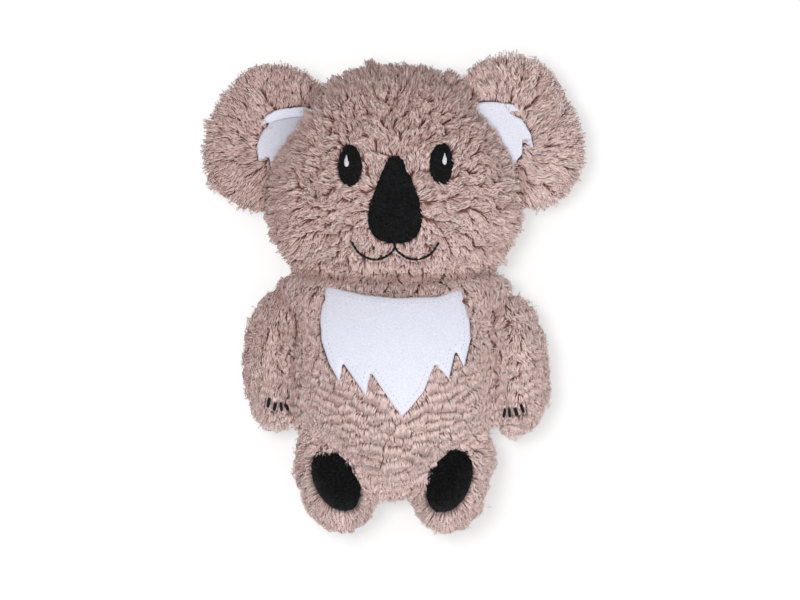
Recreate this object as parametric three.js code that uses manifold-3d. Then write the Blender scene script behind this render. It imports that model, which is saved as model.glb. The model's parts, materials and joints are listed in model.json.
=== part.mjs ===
// A plush koala that lies on its back: +Z rises out of its belly, +Y points to the top of its head, and
// its own left side is at +X. Lengths are in millimetres and angles in degrees. Each section is a pair of
// fur fabric panels, sewn edge to edge round its stuffing, and felt and thread lie on the front panels.

import * as THREE from "three";
import { mergeVertices } from "three/addons/utils/BufferGeometryUtils.js";
import Module from "manifold-3d";

const wasm = await Module();
wasm.setup();

// Fabric, felt and thread
const plushThickness = 4.5;
const feltThickness = 1.6;
const threadThickness = 1;
const threadWidth = 2;

// Clearances
const panelGap = 0.3; // between the two panels of a section, along their seam
const stuffingGap = 0.3; // between the panels and the stuffing
const stitchGap = 0.6; // between two sections, along the seam that joins them
const patchGap = 0.3; // under felt and thread
const patchMargin = 3; // from felt to the next section, which keeps it clear as the seam folds
const prismOverrun = 5; // of a cut past the piece that it cuts

// How the toy lies
const seamHeight = 22; // of all the side seams above the table
const tableFlat = 0.5; // how far the table presses in the back of the head and of the torso

// Finish of the meshes
const weldDistance = 0.0001;
const pointsPerSpan = 2; // of an outline, for each of its stated points
const ellipsePoints = 20;
const clawPoints = 8;
const arcSteps = 10; // along each half of the smile

// Sections. Outline points are shares of half the width and half the length, from the middle. The heart,
// given the same way, is the point that a section's rings shrink to. A fullness of 0.5 gives a round edge
// and 1 a sharp one, and a section that folds tapers over its seamTaper to the seam that it folds at.
const rootShare = 0.35; // of its height that a section keeps at that seam
const bigRingShares = [0.24, 0.46, 0.66, 0.82, 0.93, 1];
const bigInnerRingShares = [0.46, 0.82, 1];
const smallRingShares = [0.38, 0.62, 0.82, 1];
const smallInnerRingShares = [0.55, 1];

const head = {
  name: "head",
  width: 173,
  length: 139,
  front: { depth: 55, rounding: 66 },
  back: { depth: seamHeight + tableFlat, rounding: 30 },
  fullness: 0.62,
  heartShares: [0, -0.1],
  ringShares: bigRingShares,
  innerRingShares: bigInnerRingShares,
  outlineShares: mirroredShares([
    [0, 1], [0.28, 0.96], [0.49, 0.85], [0.66, 0.65], [0.82, 0.36], [0.96, 0.05],
    [1, -0.35], [0.93, -0.7], [0.72, -0.95], [0, -1],
  ]),
};

const torso = {
  name: "torso",
  width: 140,
  length: 158,
  front: { depth: 48, rounding: 60 },
  back: { depth: seamHeight + tableFlat, rounding: 30 },
  fullness: 0.62,
  heartShares: [0, 0.3],
  ringShares: bigRingShares,
  innerRingShares: bigInnerRingShares,
  neckOverlap: 3, // of its pattern under the chin, where the head cuts it back
  outlineShares: mirroredShares([
    [0, 1.02], [0.6, 1.01], [1, 0.95], [1.15, 0.83], [0.95, 0.61], [0.99, 0.3],
    [0.98, -0.04], [0.95, -0.34], [0.63, -0.61], [0.19, -0.92], [0, -1],
  ]),
};

const ear = {
  name: "ear",
  width: 77.5,
  length: 107,
  front: { depth: 11, rounding: 24 },
  back: { depth: 15, rounding: 20 },
  fullness: 0.6,
  seamTaper: 12,
  seamShares: [[0.74, 0.52], [0.98, -0.15]], // of half the head, from its middle
  placeShares: [1.02, 0.33], // of half the head, from its middle
  heartShares: [0.15, 0],
  ringShares: smallRingShares,
  innerRingShares: smallInnerRingShares,
  outlineShares: {
    left: [
      [-0.58, 0.09], [-0.37, -0.54], [-0.12, -0.95], [0.19, -0.96], [0.58, -0.82], [0.82, -0.65],
      [1, -0.35], [0.98, 0.09], [0.74, 0.47], [0.42, 0.84], [-0.04, 1.01], [-0.53, 1], [-0.93, 0.86],
      [-0.95, 0.6],
    ],
    right: [
      [-0.58, 0.09], [-0.37, -0.54], [-0.09, -0.96], [0.19, -0.97], [0.54, -0.8], [0.84, -0.7],
      [1, -0.34], [0.96, 0.14], [0.68, 0.52], [0.16, 0.87], [-0.47, 0.89], [-0.96, 0.71],
      [-0.95, 0.5],
    ],
  },
  feltShares: {
    left: [
      [-1.21, 0.53], [-0.92, 0.42], [-0.7, 0.48], [-0.47, 0.47], [-0.19, 0.4], [-0.02, 0.3],
      [-0.25, 0.32], [-0.02, 0.2], [0.12, 0.03], [0.19, -0.2], [0, -0.05], [0.03, -0.21],
      [-0.11, -0.39], [-0.51, -0.29],
    ],
    right: [
      [-1.21, 0.47], [-0.75, 0.38], [-0.53, 0.42], [-0.25, 0.36], [-0.03, 0.26], [0.11, 0.09],
      [-0.11, 0.2], [0.06, 0.03], [0.14, -0.13], [0.15, -0.35], [0, -0.23], [0.01, -0.34],
      [-0.08, -0.51], [-0.51, -0.35],
    ],
  },
};

const armOutlineShares = [
  [0, 0.96], [-0.67, 0.9], [-1.33, 0.63], [-1.33, 0.32], [-1.33, -0.1], [-1.33, -0.51],
  [-0.79, -0.88], [-0.17, -0.97], [0.42, -0.85], [0.92, -0.46], [1, 0.03], [0.75, 0.42], [0.42, 0.69],
];
const arm = {
  name: "arm",
  width: 32.5,
  length: 98,
  front: { depth: 21, rounding: 15 },
  back: { depth: 20, rounding: 15 },
  fullness: 0.6,
  seamTaper: 20,
  seamShares: [[1.15, 0.83], [0.95, 0.61]], // of half the torso, from its middle
  placeShares: [1.2, 0.19], // of half the torso, from its middle
  lieOut: { left: 1, right: -1 }, // how much further out, and down, this arm lies than the other
  lieDown: { left: 2, right: -2 },
  heartShares: [0.08, -0.1],
  ringShares: smallRingShares,
  innerRingShares: smallInnerRingShares,
  outlineShares: { left: armOutlineShares, right: armOutlineShares },
};
const claw = {
  width: 2.6,
  length: 6,
  placeShares: [[-0.62, -0.66], [-0.4, -0.66], [-0.15, -0.65], [0.12, -0.6]], // of half the arm
  leans: [-9, 6, 17, 24],
};

const legOutlineShares = [
  [0.68, 1.3], [0.05, 0.98], [-0.81, 0.33], [-1.1, -0.2], [-1.03, -0.39], [-0.84, -0.72],
  [-0.54, -0.91], [-0.16, -0.96], [0.22, -0.8], [0.59, -0.54], [0.81, -0.11], [0.89, 0.28],
  [0.95, 0.72], [1.03, 1.15],
];
const leg = {
  name: "leg",
  width: 50,
  length: 62.5,
  front: { depth: 34, rounding: 22 },
  back: { depth: 20, rounding: 20 },
  fullness: 0.6,
  seamTaper: 20,
  seamShares: [[0.63, -0.61], [0.19, -0.92]], // of half the torso, from its middle
  placeShares: [0.58, -0.865], // of half the torso, from its middle
  heartShares: [0.05, -0.15],
  ringShares: smallRingShares,
  innerRingShares: smallInnerRingShares,
  outlineShares: { left: legOutlineShares, right: legOutlineShares },
};
const footPad = { width: 28.5, length: 45, tilt: 27, placeShares: [-0.09, 0.09] }; // of half the leg

// The face and the chest, placed by shares of half the section that carries them
const nose = {
  width: 37,
  length: 59,
  placeShares: [0.01, -0.3],
  outlineShares: mirroredShares([
    [0, 1], [0.28, 0.93], [0.47, 0.66], [0.7, 0.29], [0.9, -0.07], [1, -0.41], [0.95, -0.66],
    [0.8, -0.82], [0.42, -0.97], [0, -1],
  ]),
};
const eye = { width: 16, length: 29, placeShares: { left: [0.37, 0.05], right: [-0.345, 0.03] } };
const highlight = {
  width: 3.8,
  length: 9.5,
  placeShares: [0.28, 0.25], // of half the eye, outwards and up
  outlineShares: mirroredShares([[0, 1], [0.55, 0.35], [1, -0.3], [0.7, -0.85], [0, -1]]),
};
const mouth = { radius: 16, joinAngle: -31, endAngle: -169, stem: 3 };
const bib = {
  width: 102.5,
  length: 90,
  placeShares: [0.01, 0.28],
  outlineShares: [
    [-0.95, 1], [-0.99, 0.49], [-0.97, 0.16], [-0.87, -0.18], [-0.73, -0.47], [-0.69, -0.16],
    [-0.38, -0.68], [-0.32, -0.31], [0.09, -1], [0.38, -0.6], [0.53, -0.18], [0.71, -0.42],
    [0.8, 0.02], [0.91, -0.24], [1, 0.19], [0.98, 0.54], [0.91, 0.97], [0.57, 0.83], [0, 0.81],
    [-0.42, 0.86],
  ],
};

// Finishes
const plush = new THREE.MeshStandardMaterial({ color: 0xb89c92, roughness: 0.95, metalness: 0 });
const backing = new THREE.MeshStandardMaterial({ color: 0xe9e4de, roughness: 1, metalness: 0 });
const blackFelt = new THREE.MeshStandardMaterial({ color: 0x17171a, roughness: 0.9, metalness: 0 });
const whiteFelt = new THREE.MeshStandardMaterial({ color: 0xe4e4f0, roughness: 0.9, metalness: 0 });
const blackThread = new THREE.MeshStandardMaterial({ color: 0x101113, roughness: 0.6, metalness: 0 });
const whiteThread = new THREE.MeshStandardMaterial({ color: 0xf4f4f8, roughness: 0.6, metalness: 0 });

const fullTurn = 360;
const radians = THREE.MathUtils.degToRad;

// Outlines

// A closed list of shares from its right half, which runs from top to bottom along the middle line
function mirroredShares(half) {
  const left = half.slice(1, -1).map(([x, y]) => [-x, y]);
  return [...half, ...left.reverse()].reverse();
}

function placed(middle, width, length, [x, y], mirror = 1) {
  return new THREE.Vector2(middle.x + (mirror * x * width) / 2, middle.y + (y * length) / 2);
}

function smooth(points) {
  const curve = new THREE.CatmullRomCurve3(points.map(({ x, y }) => new THREE.Vector3(x, y, 0)), true);
  const samples = curve.getPoints(points.length * pointsPerSpan).slice(0, -1);
  return samples.map(({ x, y }) => new THREE.Vector2(x, y));
}

function anticlockwise(outline) {
  return THREE.ShapeUtils.isClockWise(outline) ? [...outline].reverse() : outline;
}

function grown(outline, by) {
  return outline.map((point, i) => {
    const before = outline.at(i - 1);
    const after = outline[(i + 1) % outline.length];
    const along = after.clone().sub(before).normalize();
    return new THREE.Vector2(point.x + along.y * by, point.y - along.x * by);
  });
}

// The share of the way from one point to another at which it first meets an outline, or 1
function meeting(from, to, outline) {
  const way = to.clone().sub(from);
  let nearest = 1;
  outline.forEach((start, i) => {
    const edge = outline[(i + 1) % outline.length].clone().sub(start);
    const offset = start.clone().sub(from);
    const turn = way.cross(edge);
    const share = offset.cross(edge) / turn;
    const onEdge = offset.cross(way) / turn;
    if (onEdge >= 0 && onEdge <= 1 && share >= 0 && share < nearest) nearest = share;
  });
  return nearest;
}

function cutBack(outline, heart, larger) {
  const limit = grown(larger.outline, stitchGap);
  return outline.map((point) => heart.clone().lerp(point, meeting(heart, point, limit)));
}

function distanceToEdge(point, outline) {
  const distances = outline.map((start, i) => {
    const edge = outline[(i + 1) % outline.length].clone().sub(start);
    const offset = point.clone().sub(start);
    const share = THREE.MathUtils.clamp(offset.dot(edge) / edge.lengthSq(), 0, 1);
    return offset.addScaledVector(edge, -share).length();
  });
  return Math.min(...distances);
}

function ellipse(middle, width, length, tilt, count) {
  return Array.from({ length: count }, (_, i) => {
    const turn = radians((fullTurn * i) / count);
    const point = new THREE.Vector2((Math.cos(turn) * width) / 2, (Math.sin(turn) * length) / 2);
    return point.rotateAround(new THREE.Vector2(), radians(tilt)).add(middle);
  });
}

// Sections

// The seam that a section folds at: a line square to outward, just clear of the stretch of the larger
// section's edge from the start of the seam to its end
function foldOf(larger, seamShares, mirror) {
  const [start, end] = seamShares.map((shares) => on(larger, shares, mirror));
  const along = end.clone().sub(start).normalize();
  const outward = new THREE.Vector2(-along.y, along.x).multiplyScalar(mirror);
  const sewn = larger.outline.filter((point) => {
    const place = point.dot(along);
    return point.x * mirror > 0 && place >= start.dot(along) && place <= end.dot(along);
  });
  return { outward, reach: Math.max(...sewn.map((point) => point.dot(outward))) + stitchGap / 2 };
}

function wholeSection(spec, middle, larger) {
  const heart = placed(middle, spec.width, spec.length, spec.heartShares);
  const points = spec.outlineShares.map((shares) => placed(middle, spec.width, spec.length, shares));
  const outline = anticlockwise(smooth(points));
  return { ...spec, middle, heart, outline: larger ? cutBack(outline, heart, larger) : outline };
}

function sideSection(spec, side, larger) {
  const mirror = side === "left" ? 1 : -1;
  const middle = placed(larger.middle, larger.width, larger.length, spec.placeShares, mirror);
  middle.x += mirror * (spec.lieOut?.[side] ?? 0);
  middle.y -= spec.lieDown?.[side] ?? 0;
  const heart = placed(middle, spec.width, spec.length, spec.heartShares, mirror);
  const shares = spec.outlineShares[side];
  const points = shares.map((share) => placed(middle, spec.width, spec.length, share, mirror));
  const outline = cutBack(anticlockwise(smooth(points)), heart, larger);
  const fold = foldOf(larger, spec.seamShares, mirror);
  return { ...spec, name: `${spec.name}_${side}`, side, mirror, middle, heart, outline, fold };
}

const easeOut = (share) => 1 - (1 - THREE.MathUtils.clamp(share, 0, 1)) ** 2;

// How far a face of a section stands off its seam's plane, measured inset from its outer skin
function swell(section, face, point, inset) {
  const { depth, rounding } = section[face];
  const inside = (distanceToEdge(point, section.outline) - inset) / (rounding - inset);
  return (depth - inset) * easeOut(inside) ** section.fullness * taperShare(section, point);
}

function taperShare({ fold, seamTaper }, point) {
  if (!fold) return 1;
  return THREE.MathUtils.lerp(rootShare, 1, easeOut((point.dot(fold.outward) - fold.reach) / seamTaper));
}

function raised(section, face, point, inset, gap) {
  const stands = swell(section, face, point, inset) + gap;
  const height = face === "front" ? seamHeight + stands : Math.max(seamHeight - stands, 0);
  return new THREE.Vector3(point.x, point.y, height);
}

function ring(section, face, share, inset, gap) {
  return section.outline.map((edge) => {
    const way = edge.clone().sub(section.heart);
    const reach = (way.length() - inset) * share;
    return raised(section, face, section.heart.clone().addScaledVector(way.normalize(), reach), inset, gap);
  });
}

// Rings of one face from the heart outwards, and the point in their middle
function faceOf(section, face, shares, inset = 0, gap = panelGap / 2) {
  return {
    rings: shares.map((share) => ring(section, face, share, inset, gap)),
    pole: raised(section, face, section.heart, inset, gap),
  };
}

// A closed solid between an upper and a lower face whose rings have as many points. The quads of both are
// split the same way, so that faces which lie close together stay clear of each other.
function lens(upper, lower) {
  const rings = [...upper.rings, ...[...lower.rings].reverse()];
  const count = rings[0].length;
  const points = [upper.pole, ...rings.flat(), lower.pole];
  const at = (r, i) => 1 + r * count + (i % count);
  const index = [];
  for (let i = 0; i < count; i += 1) {
    index.push(0, at(0, i), at(0, i + 1));
    for (let r = 0; r + 1 < rings.length; r += 1) {
      const quad = [at(r, i), at(r + 1, i), at(r + 1, i + 1), at(r, i + 1)];
      const [a, b, c, d] = r + 1 < upper.rings.length ? quad : [quad[3], ...quad.slice(0, 3)];
      index.push(a, b, c, a, c, d);
    }
    index.push(at(rings.length - 1, i), points.length - 1, at(rings.length - 1, i + 1));
  }
  const geometry = new THREE.BufferGeometry().setFromPoints(points);
  geometry.setIndex(index);
  geometry.computeVertexNormals();
  return geometry;
}

function frontPanel(section) {
  const outer = faceOf(section, "front", section.ringShares);
  const inner = faceOf(section, "front", section.innerRingShares, plushThickness);
  return lens(outer, inner);
}

function backPanel(section) {
  const outer = faceOf(section, "back", section.ringShares);
  const inner = faceOf(section, "back", section.innerRingShares, plushThickness);
  return lens(inner, outer);
}

function stuffing(section) {
  const inset = plushThickness + stuffingGap;
  const upper = faceOf(section, "front", section.innerRingShares, inset, 0);
  const lower = faceOf(section, "back", section.innerRingShares.slice(0, -1), inset, 0);
  return lens(upper, lower);
}

// Patches

function solid(geometry) {
  const bare = geometry.clone();
  bare.deleteAttribute("normal");
  bare.deleteAttribute("uv");
  const merged = mergeVertices(bare, weldDistance);
  const vertProperties = new Float32Array(merged.attributes.position.array);
  const triVerts = new Uint32Array(merged.index.array);
  return new wasm.Manifold(new wasm.Mesh({ numProp: 3, vertProperties, triVerts }));
}

function geometryOf(manifold) {
  const { vertProperties, triVerts, numProp } = manifold.getMesh();
  const geometry = new THREE.BufferGeometry();
  geometry.setAttribute("position", new THREE.BufferAttribute(vertProperties, numProp));
  geometry.setIndex(new THREE.BufferAttribute(triVerts, 1));
  geometry.computeVertexNormals();
  return geometry;
}

function prism(outline, section) {
  const depth = seamHeight + section.front.depth + 2 * prismOverrun;
  const geometry = new THREE.ExtrudeGeometry(new THREE.Shape(outline), { depth, bevelEnabled: false });
  return solid(geometry.translate(0, 0, -prismOverrun));
}

// The layer of a thickness that follows a section's front panel, a lift above it
function layer(section, lift, thickness) {
  const face = faceOf(section, "front", section.ringShares);
  const moved = (by) => {
    const shift = new THREE.Vector3(0, 0, by);
    const rings = face.rings.map((points) => points.map((point) => point.clone().add(shift)));
    return { rings, pole: face.pole.clone().add(shift) };
  };
  return solid(lens(moved(lift + thickness), moved(lift)));
}

function patch(section, outlines, thickness, { lift = patchGap, clearOf } = {}) {
  let cutter = prism(outlines[0], section);
  outlines.slice(1).forEach((outline) => {
    cutter = cutter.add(prism(outline, section));
  });
  if (clearOf) cutter = cutter.subtract(prism(grown(clearOf.outline, patchMargin), section));
  return geometryOf(layer(section, lift, thickness).intersect(cutter));
}

function patchOutline(spec, middle) {
  return spec.outlineShares.map((shares) => placed(middle, spec.width, spec.length, shares));
}

function on(section, shares, mirror = 1) {
  return placed(section.middle, section.width, section.length, shares, mirror);
}

// The smile: a short stem under the nose, and an arc of thread on each side of it
function mouthOutlines(section) {
  const noseMiddle = on(section, nose.placeShares);
  const join = new THREE.Vector2(noseMiddle.x, noseMiddle.y - nose.length / 2 - mouth.stem);
  const halfThread = threadWidth / 2;
  const stem = [[-1, 0], [1, 0], [1, 1], [-1, 1]].map(
    ([x, y]) => new THREE.Vector2(join.x + x * halfThread, join.y + y * (mouth.stem - patchGap)),
  );
  const arcs = [1, -1].map((mirror) => {
    const centreX = join.x + mirror * mouth.radius * Math.cos(radians(mouth.joinAngle));
    const centreY = join.y - mouth.radius * Math.sin(radians(mouth.joinAngle));
    const point = (radius, angle) => new THREE.Vector2(
      centreX - mirror * radius * Math.cos(radians(angle)),
      centreY + radius * Math.sin(radians(angle)),
    );
    const steps = Array.from({ length: arcSteps + 1 }, (_, i) => i / arcSteps);
    const angles = steps.map((step) => THREE.MathUtils.lerp(mouth.joinAngle, mouth.endAngle, step));
    const outer = angles.map((angle) => point(mouth.radius + halfThread, angle));
    const inner = angles.map((angle) => point(mouth.radius - halfThread, angle));
    return [...outer, ...inner.reverse()];
  });
  return [stem, ...arcs];
}
// The toy

const parts = new THREE.Group();

function add(name, geometry, material) {
  const mesh = new THREE.Mesh(geometry, material);
  mesh.name = name;
  parts.add(mesh);
}

function addSection(section) {
  add(`${section.name}_front_panel`, frontPanel(section), plush);
  add(`${section.name}_back_panel`, backPanel(section), plush);
  add(`${section.name}_stuffing`, stuffing(section), backing);
}

const headMiddle = new THREE.Vector2(0, torso.length / 2 + head.length / 2 - torso.neckOverlap);
const headSection = wholeSection(head, headMiddle);
const torsoSection = wholeSection(torso, new THREE.Vector2(), headSection);
addSection(torsoSection);
addSection(headSection);

const bibOutline = patchOutline(bib, on(torsoSection, bib.placeShares));
add("chest_bib", patch(torsoSection, [bibOutline], feltThickness, { clearOf: headSection }), whiteFelt);

const noseOutline = smooth(patchOutline(nose, on(headSection, nose.placeShares)));
add("nose_felt", patch(headSection, [noseOutline], feltThickness), blackFelt);
add("mouth_embroidery", patch(headSection, mouthOutlines(headSection), threadThickness), blackThread);

["left", "right"].forEach((side) => {
  const mirror = side === "left" ? 1 : -1;

  const eyeMiddle = on(headSection, eye.placeShares[side]);
  const eyeOutline = ellipse(eyeMiddle, eye.width, eye.length, 0, ellipsePoints);
  add(`eye_${side}`, patch(headSection, [eyeOutline], feltThickness), blackFelt);
  const glintMiddle = placed(eyeMiddle, eye.width, eye.length, highlight.placeShares, mirror);
  const glint = smooth(patchOutline(highlight, glintMiddle));
  const lift = 2 * patchGap + feltThickness;
  add(`eye_highlight_${side}`, patch(headSection, [glint], threadThickness, { lift }), whiteThread);

  const earSection = sideSection(ear, side, headSection);
  addSection(earSection);
  const earFelt = ear.feltShares[side].map((shares) => on(earSection, shares, mirror));
  add(`ear_${side}_felt`, patch(earSection, [earFelt], feltThickness, { clearOf: headSection }), whiteFelt);

  const armSection = sideSection(arm, side, torsoSection);
  addSection(armSection);
  claw.placeShares.forEach((shares, i) => {
    const clawMiddle = on(armSection, shares, mirror);
    const outline = ellipse(clawMiddle, claw.width, claw.length, mirror * claw.leans[i], clawPoints);
    add(`claw_${side}_${i + 1}`, patch(armSection, [outline], threadThickness), blackThread);
  });

  const legSection = sideSection(leg, side, torsoSection);
  addSection(legSection);
  const padMiddle = on(legSection, footPad.placeShares, mirror);
  const padOutline = ellipse(padMiddle, footPad.width, footPad.length, -mirror * footPad.tilt, ellipsePoints);
  add(`foot_pad_${side}`, patch(legSection, [padOutline], feltThickness, { clearOf: torsoSection }), blackFelt);
});

// The middle of the toy's outline lies over the origin, and its back on the table
const bounds = new THREE.Box3().setFromObject(parts);
const middle = bounds.getCenter(new THREE.Vector3());
parts.position.set(-middle.x, -middle.y, -bounds.min.z);

const koala = new THREE.Group();
koala.add(parts);

export default koala;
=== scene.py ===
"""A plush koala lying on its back: sewn fur fabric round a filling, with felt and thread on its front.

+Z rises out of the belly, +Y points to the top of the head and the toy's left side is at +X, in metres.
"""

import json
import math
from contextlib import contextmanager

import bmesh
import bpy
import numpy as np
from bpy.props import FloatProperty, FloatVectorProperty, IntProperty, PointerProperty
from mathutils import Euler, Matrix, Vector, noise
from mathutils.bvhtree import BVHTree
from mathutils.kdtree import KDTree

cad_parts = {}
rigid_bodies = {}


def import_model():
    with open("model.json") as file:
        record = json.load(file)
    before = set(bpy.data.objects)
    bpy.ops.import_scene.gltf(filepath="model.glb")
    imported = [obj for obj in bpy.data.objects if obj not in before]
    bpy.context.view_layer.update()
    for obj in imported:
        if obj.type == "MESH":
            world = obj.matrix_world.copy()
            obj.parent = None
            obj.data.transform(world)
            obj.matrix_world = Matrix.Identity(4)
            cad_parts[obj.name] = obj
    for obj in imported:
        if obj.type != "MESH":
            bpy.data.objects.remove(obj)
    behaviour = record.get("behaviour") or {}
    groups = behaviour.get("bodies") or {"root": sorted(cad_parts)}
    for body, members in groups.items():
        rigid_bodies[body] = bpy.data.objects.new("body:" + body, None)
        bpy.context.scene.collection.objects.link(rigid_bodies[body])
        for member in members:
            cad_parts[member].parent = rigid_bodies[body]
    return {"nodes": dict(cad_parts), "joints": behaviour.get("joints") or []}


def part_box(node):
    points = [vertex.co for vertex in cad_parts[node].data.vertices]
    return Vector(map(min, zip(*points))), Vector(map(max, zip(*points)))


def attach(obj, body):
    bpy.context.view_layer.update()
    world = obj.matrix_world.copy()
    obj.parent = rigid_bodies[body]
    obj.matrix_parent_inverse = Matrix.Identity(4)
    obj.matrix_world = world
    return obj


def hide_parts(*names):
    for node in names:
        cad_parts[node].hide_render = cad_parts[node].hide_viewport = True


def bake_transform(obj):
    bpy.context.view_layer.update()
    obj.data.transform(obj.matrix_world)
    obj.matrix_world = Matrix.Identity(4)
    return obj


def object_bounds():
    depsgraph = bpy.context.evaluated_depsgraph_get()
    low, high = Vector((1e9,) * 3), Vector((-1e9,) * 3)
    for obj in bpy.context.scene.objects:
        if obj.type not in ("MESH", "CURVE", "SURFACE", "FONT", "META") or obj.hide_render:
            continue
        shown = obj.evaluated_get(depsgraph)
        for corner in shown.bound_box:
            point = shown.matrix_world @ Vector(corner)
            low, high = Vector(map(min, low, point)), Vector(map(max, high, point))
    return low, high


bl_info = {
    "name": "Plush koala",
    "version": (1, 0, 0),
    "blender": (4, 5, 0),
    "location": "3D View > Sidebar > Plush koala",
    "description": "Makes a stuffed koala of fur fabric, felt and thread, and the stage that it lies on",
    "category": "Mesh",
}

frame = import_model()
frame_low, frame_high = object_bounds()

MM = 0.001
SIDES = ("left", "right")
FACES = ("front", "back")
SEAM_HEIGHT = (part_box("torso_front_panel")[0].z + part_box("torso_back_panel")[1].z) / 2
RANDOM_SEED = 7

# What each section is sewn to, and the joint at that seam
SEWN_TO = {
    "head": ("torso", "neck"),
    "ear_left": ("head", "ear_left_fold"),
    "ear_right": ("head", "ear_right_fold"),
    "arm_left": ("torso", "shoulder_left"),
    "arm_right": ("torso", "shoulder_right"),
    "leg_left": ("torso", "hip_left"),
    "leg_right": ("torso", "hip_right"),
}
SECTIONS = ("torso", *SEWN_TO)
BIG_SECTIONS = ("torso", "head")

# How the pile lies on each kind of section, and on the chest and shoulders: how much it is combed down
# and away from a centre, how wide its tufts are, how long it is, how far its tufts line up in rows and
# have even ends, how many degrees they sway together and turn one by one, how far each gathers to its
# middle, how unlike their heights are, and how far the painted shade at the roots shows
COMBS = {
    "torso": {
        "down": 1.0, "away": 0.25, "tuft": 8.6 * MM, "long": 1.0, "rows": 0.85, "even": 0.85,
        "sway": 18, "turn": 8, "gather": 0.08, "rough": 0.5, "dark": 0.65,
    },
    "head": {
        "down": 0.15, "away": 1.0, "tuft": 5.8 * MM, "long": 1.0, "rows": 0.85, "even": 0.3,
        "sway": 36, "turn": 18, "gather": 0.5, "rough": 1.7, "dark": 1.0,
    },
    "ear": {
        "down": 0, "away": 1.0, "tuft": 6.8 * MM, "long": 1.15, "rows": 0, "even": 0,
        "sway": 24, "turn": 10, "gather": 0.3, "rough": 0.8, "dark": 0.5,
    },
    "arm": {
        "down": 1.0, "away": 0.3, "tuft": 7.4 * MM, "long": 1.15, "rows": 0.6, "even": 0.7,
        "sway": 18, "turn": 8, "gather": 0.25, "rough": 1.0, "dark": 0.4,
    },
    "leg": {
        "down": 1.3, "away": 1.0, "tuft": 6.0 * MM, "long": 1.15, "rows": 0, "even": 0.1,
        "sway": 20, "turn": 12, "gather": 0.45, "rough": 1.5, "dark": 0.3,
    },
    "chest": {
        "tuft": 5.6 * MM, "long": 1.1, "rows": 0.3, "even": 0.5,
        "sway": 22, "turn": 12, "gather": 0.3, "rough": 0.8, "dark": 0.8,
    },
}
COMB_NAMES = ("tuft", "long", "rows", "even", "sway", "turn", "gather", "rough", "dark")

# From where to where along the body the torso's pile turns into the chest's
CHEST_START, CHEST_END = -62 * MM, -38 * MM

# How far the pile may hang over each piece of felt
OVERHANGS = {
    "chest_bib": 3.2 * MM,
    "nose": 2.0 * MM,
    "eye": 1.4 * MM,
    "ear": 8.0 * MM,
    "foot": 6.5 * MM,
}

# How high each piece of felt lies over the form, and how much lower its rim lies
LAYERS = {
    "bib": (3.0 * MM, 0.9 * MM),
    "lining": (3.0 * MM, 0.4 * MM),
    "nose": (3.4 * MM, 2.2 * MM),
    "eye": (3.2 * MM, 1.6 * MM),
    "glint": (4.9 * MM, 0.3 * MM),
    "pad": (2.4 * MM, 1.6 * MM),
}

# How long the nap of each piece of black felt is, as a share of its setting, and how far it is combed left
# and up
NAPS = {
    "nose": (0.6, (0, 0)),
    "eye": (0.4, (0, 0)),
    "pad_left": (1, (-0.4, 0.8)),
    "pad_right": (1, (0.4, 0.8)),
}

# How high the threads of the mouth and the claws lie over the form
MOUTH_LIFT = 4.6 * MM
CLAW_LIFT = 4.8 * MM

# Sizes of the faces that a shape is made of anew
FINE_GRAIN = 1.6 * MM
MIDDLE_GRAIN = 2.2 * MM
COARSE_GRAIN = 2.5 * MM

# How far a section's skin runs on into the larger section, and the width over which it is drawn in
SKIN_TUCK, SKIN_TUCK_WIDTH = 7 * MM, 15 * MM
LINING_TUCK_WIDTH = 18 * MM

# Where the bend at a seam starts and ends, from its joint into the smaller section
BEND_START, BEND_END = -3 * MM, 9 * MM

# How much lower than its solid the filling lies under its fabric
FILLING_GAP = 0.8 * MM

# Corners nearer than this are one
MERGE_DISTANCE = 0.001 * MM


def length_of(name, description, default):
    return FloatProperty(name=name, description=description, default=default, unit="LENGTH")


def colour_of(name, description, default):
    return FloatVectorProperty(name=name, description=description, default=default, subtype="COLOR")


class PileSettings(bpy.types.PropertyGroup):
    """Sizes and colours of the fur fabric."""

    skin_gap: length_of(
        "Skin gap", "From the filling out to the fabric that the pile grows on", 1.8 * MM
    )
    crease: length_of("Crease", "How far the pile fills the creases between two sections", 6 * MM)
    swell: length_of("Swell", "How far two sections bulge towards each other at most", 8 * MM)
    fabric: length_of("Fabric", "Thickness of the knitted backing", 1.2 * MM)
    length: length_of("Pile length", "Length of a strand", 9 * MM)
    front_spacing: length_of("Front spacing", "Between the strands of the front panels", 0.78 * MM)
    back_spacing: length_of("Back spacing", "Between the strands of the back panels", 1.34 * MM)
    seam_spacing: length_of(
        "Seam spacing", "Between the strands where two sections lie on each other", 1.6 * MM
    )
    thickness: length_of("Strand thickness", "Width of a strand where it bends", 0.56 * MM)
    lock: length_of("Lock", "Spacing of the locks that the strands of a tuft gather in", 1.7 * MM)
    streak: length_of("Streak", "Width of the streaks of light and dark along a tuft", 1.2 * MM)
    swirl: length_of("Swirl", "How far apart the pile sways in different ways", 11 * MM)
    # Painted light: the pile's tips are painted lighter towards the toy's left and its feet, for light that
    # falls stronger there
    paler_by_painted_light: FloatVectorProperty(
        name="Paler", default=(2.1, -2.3, 0),
        description="How much paler the pile grows to the left, up and out of the belly, to a metre",
    )
    # Painted shade: the roots are darker and redder than the tips, for the shade deep in the pile
    painted_root_shade: colour_of("Root colour", "Of the pile at its roots", (0.4, 0.14, 0.105))
    dark_colour: colour_of("Dark colour", "Of the darkest tips of the pile", (0.68, 0.46, 0.425))
    light_colour: colour_of("Light colour", "Of the lightest tips of the pile", (0.98, 0.77, 0.735))


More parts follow.
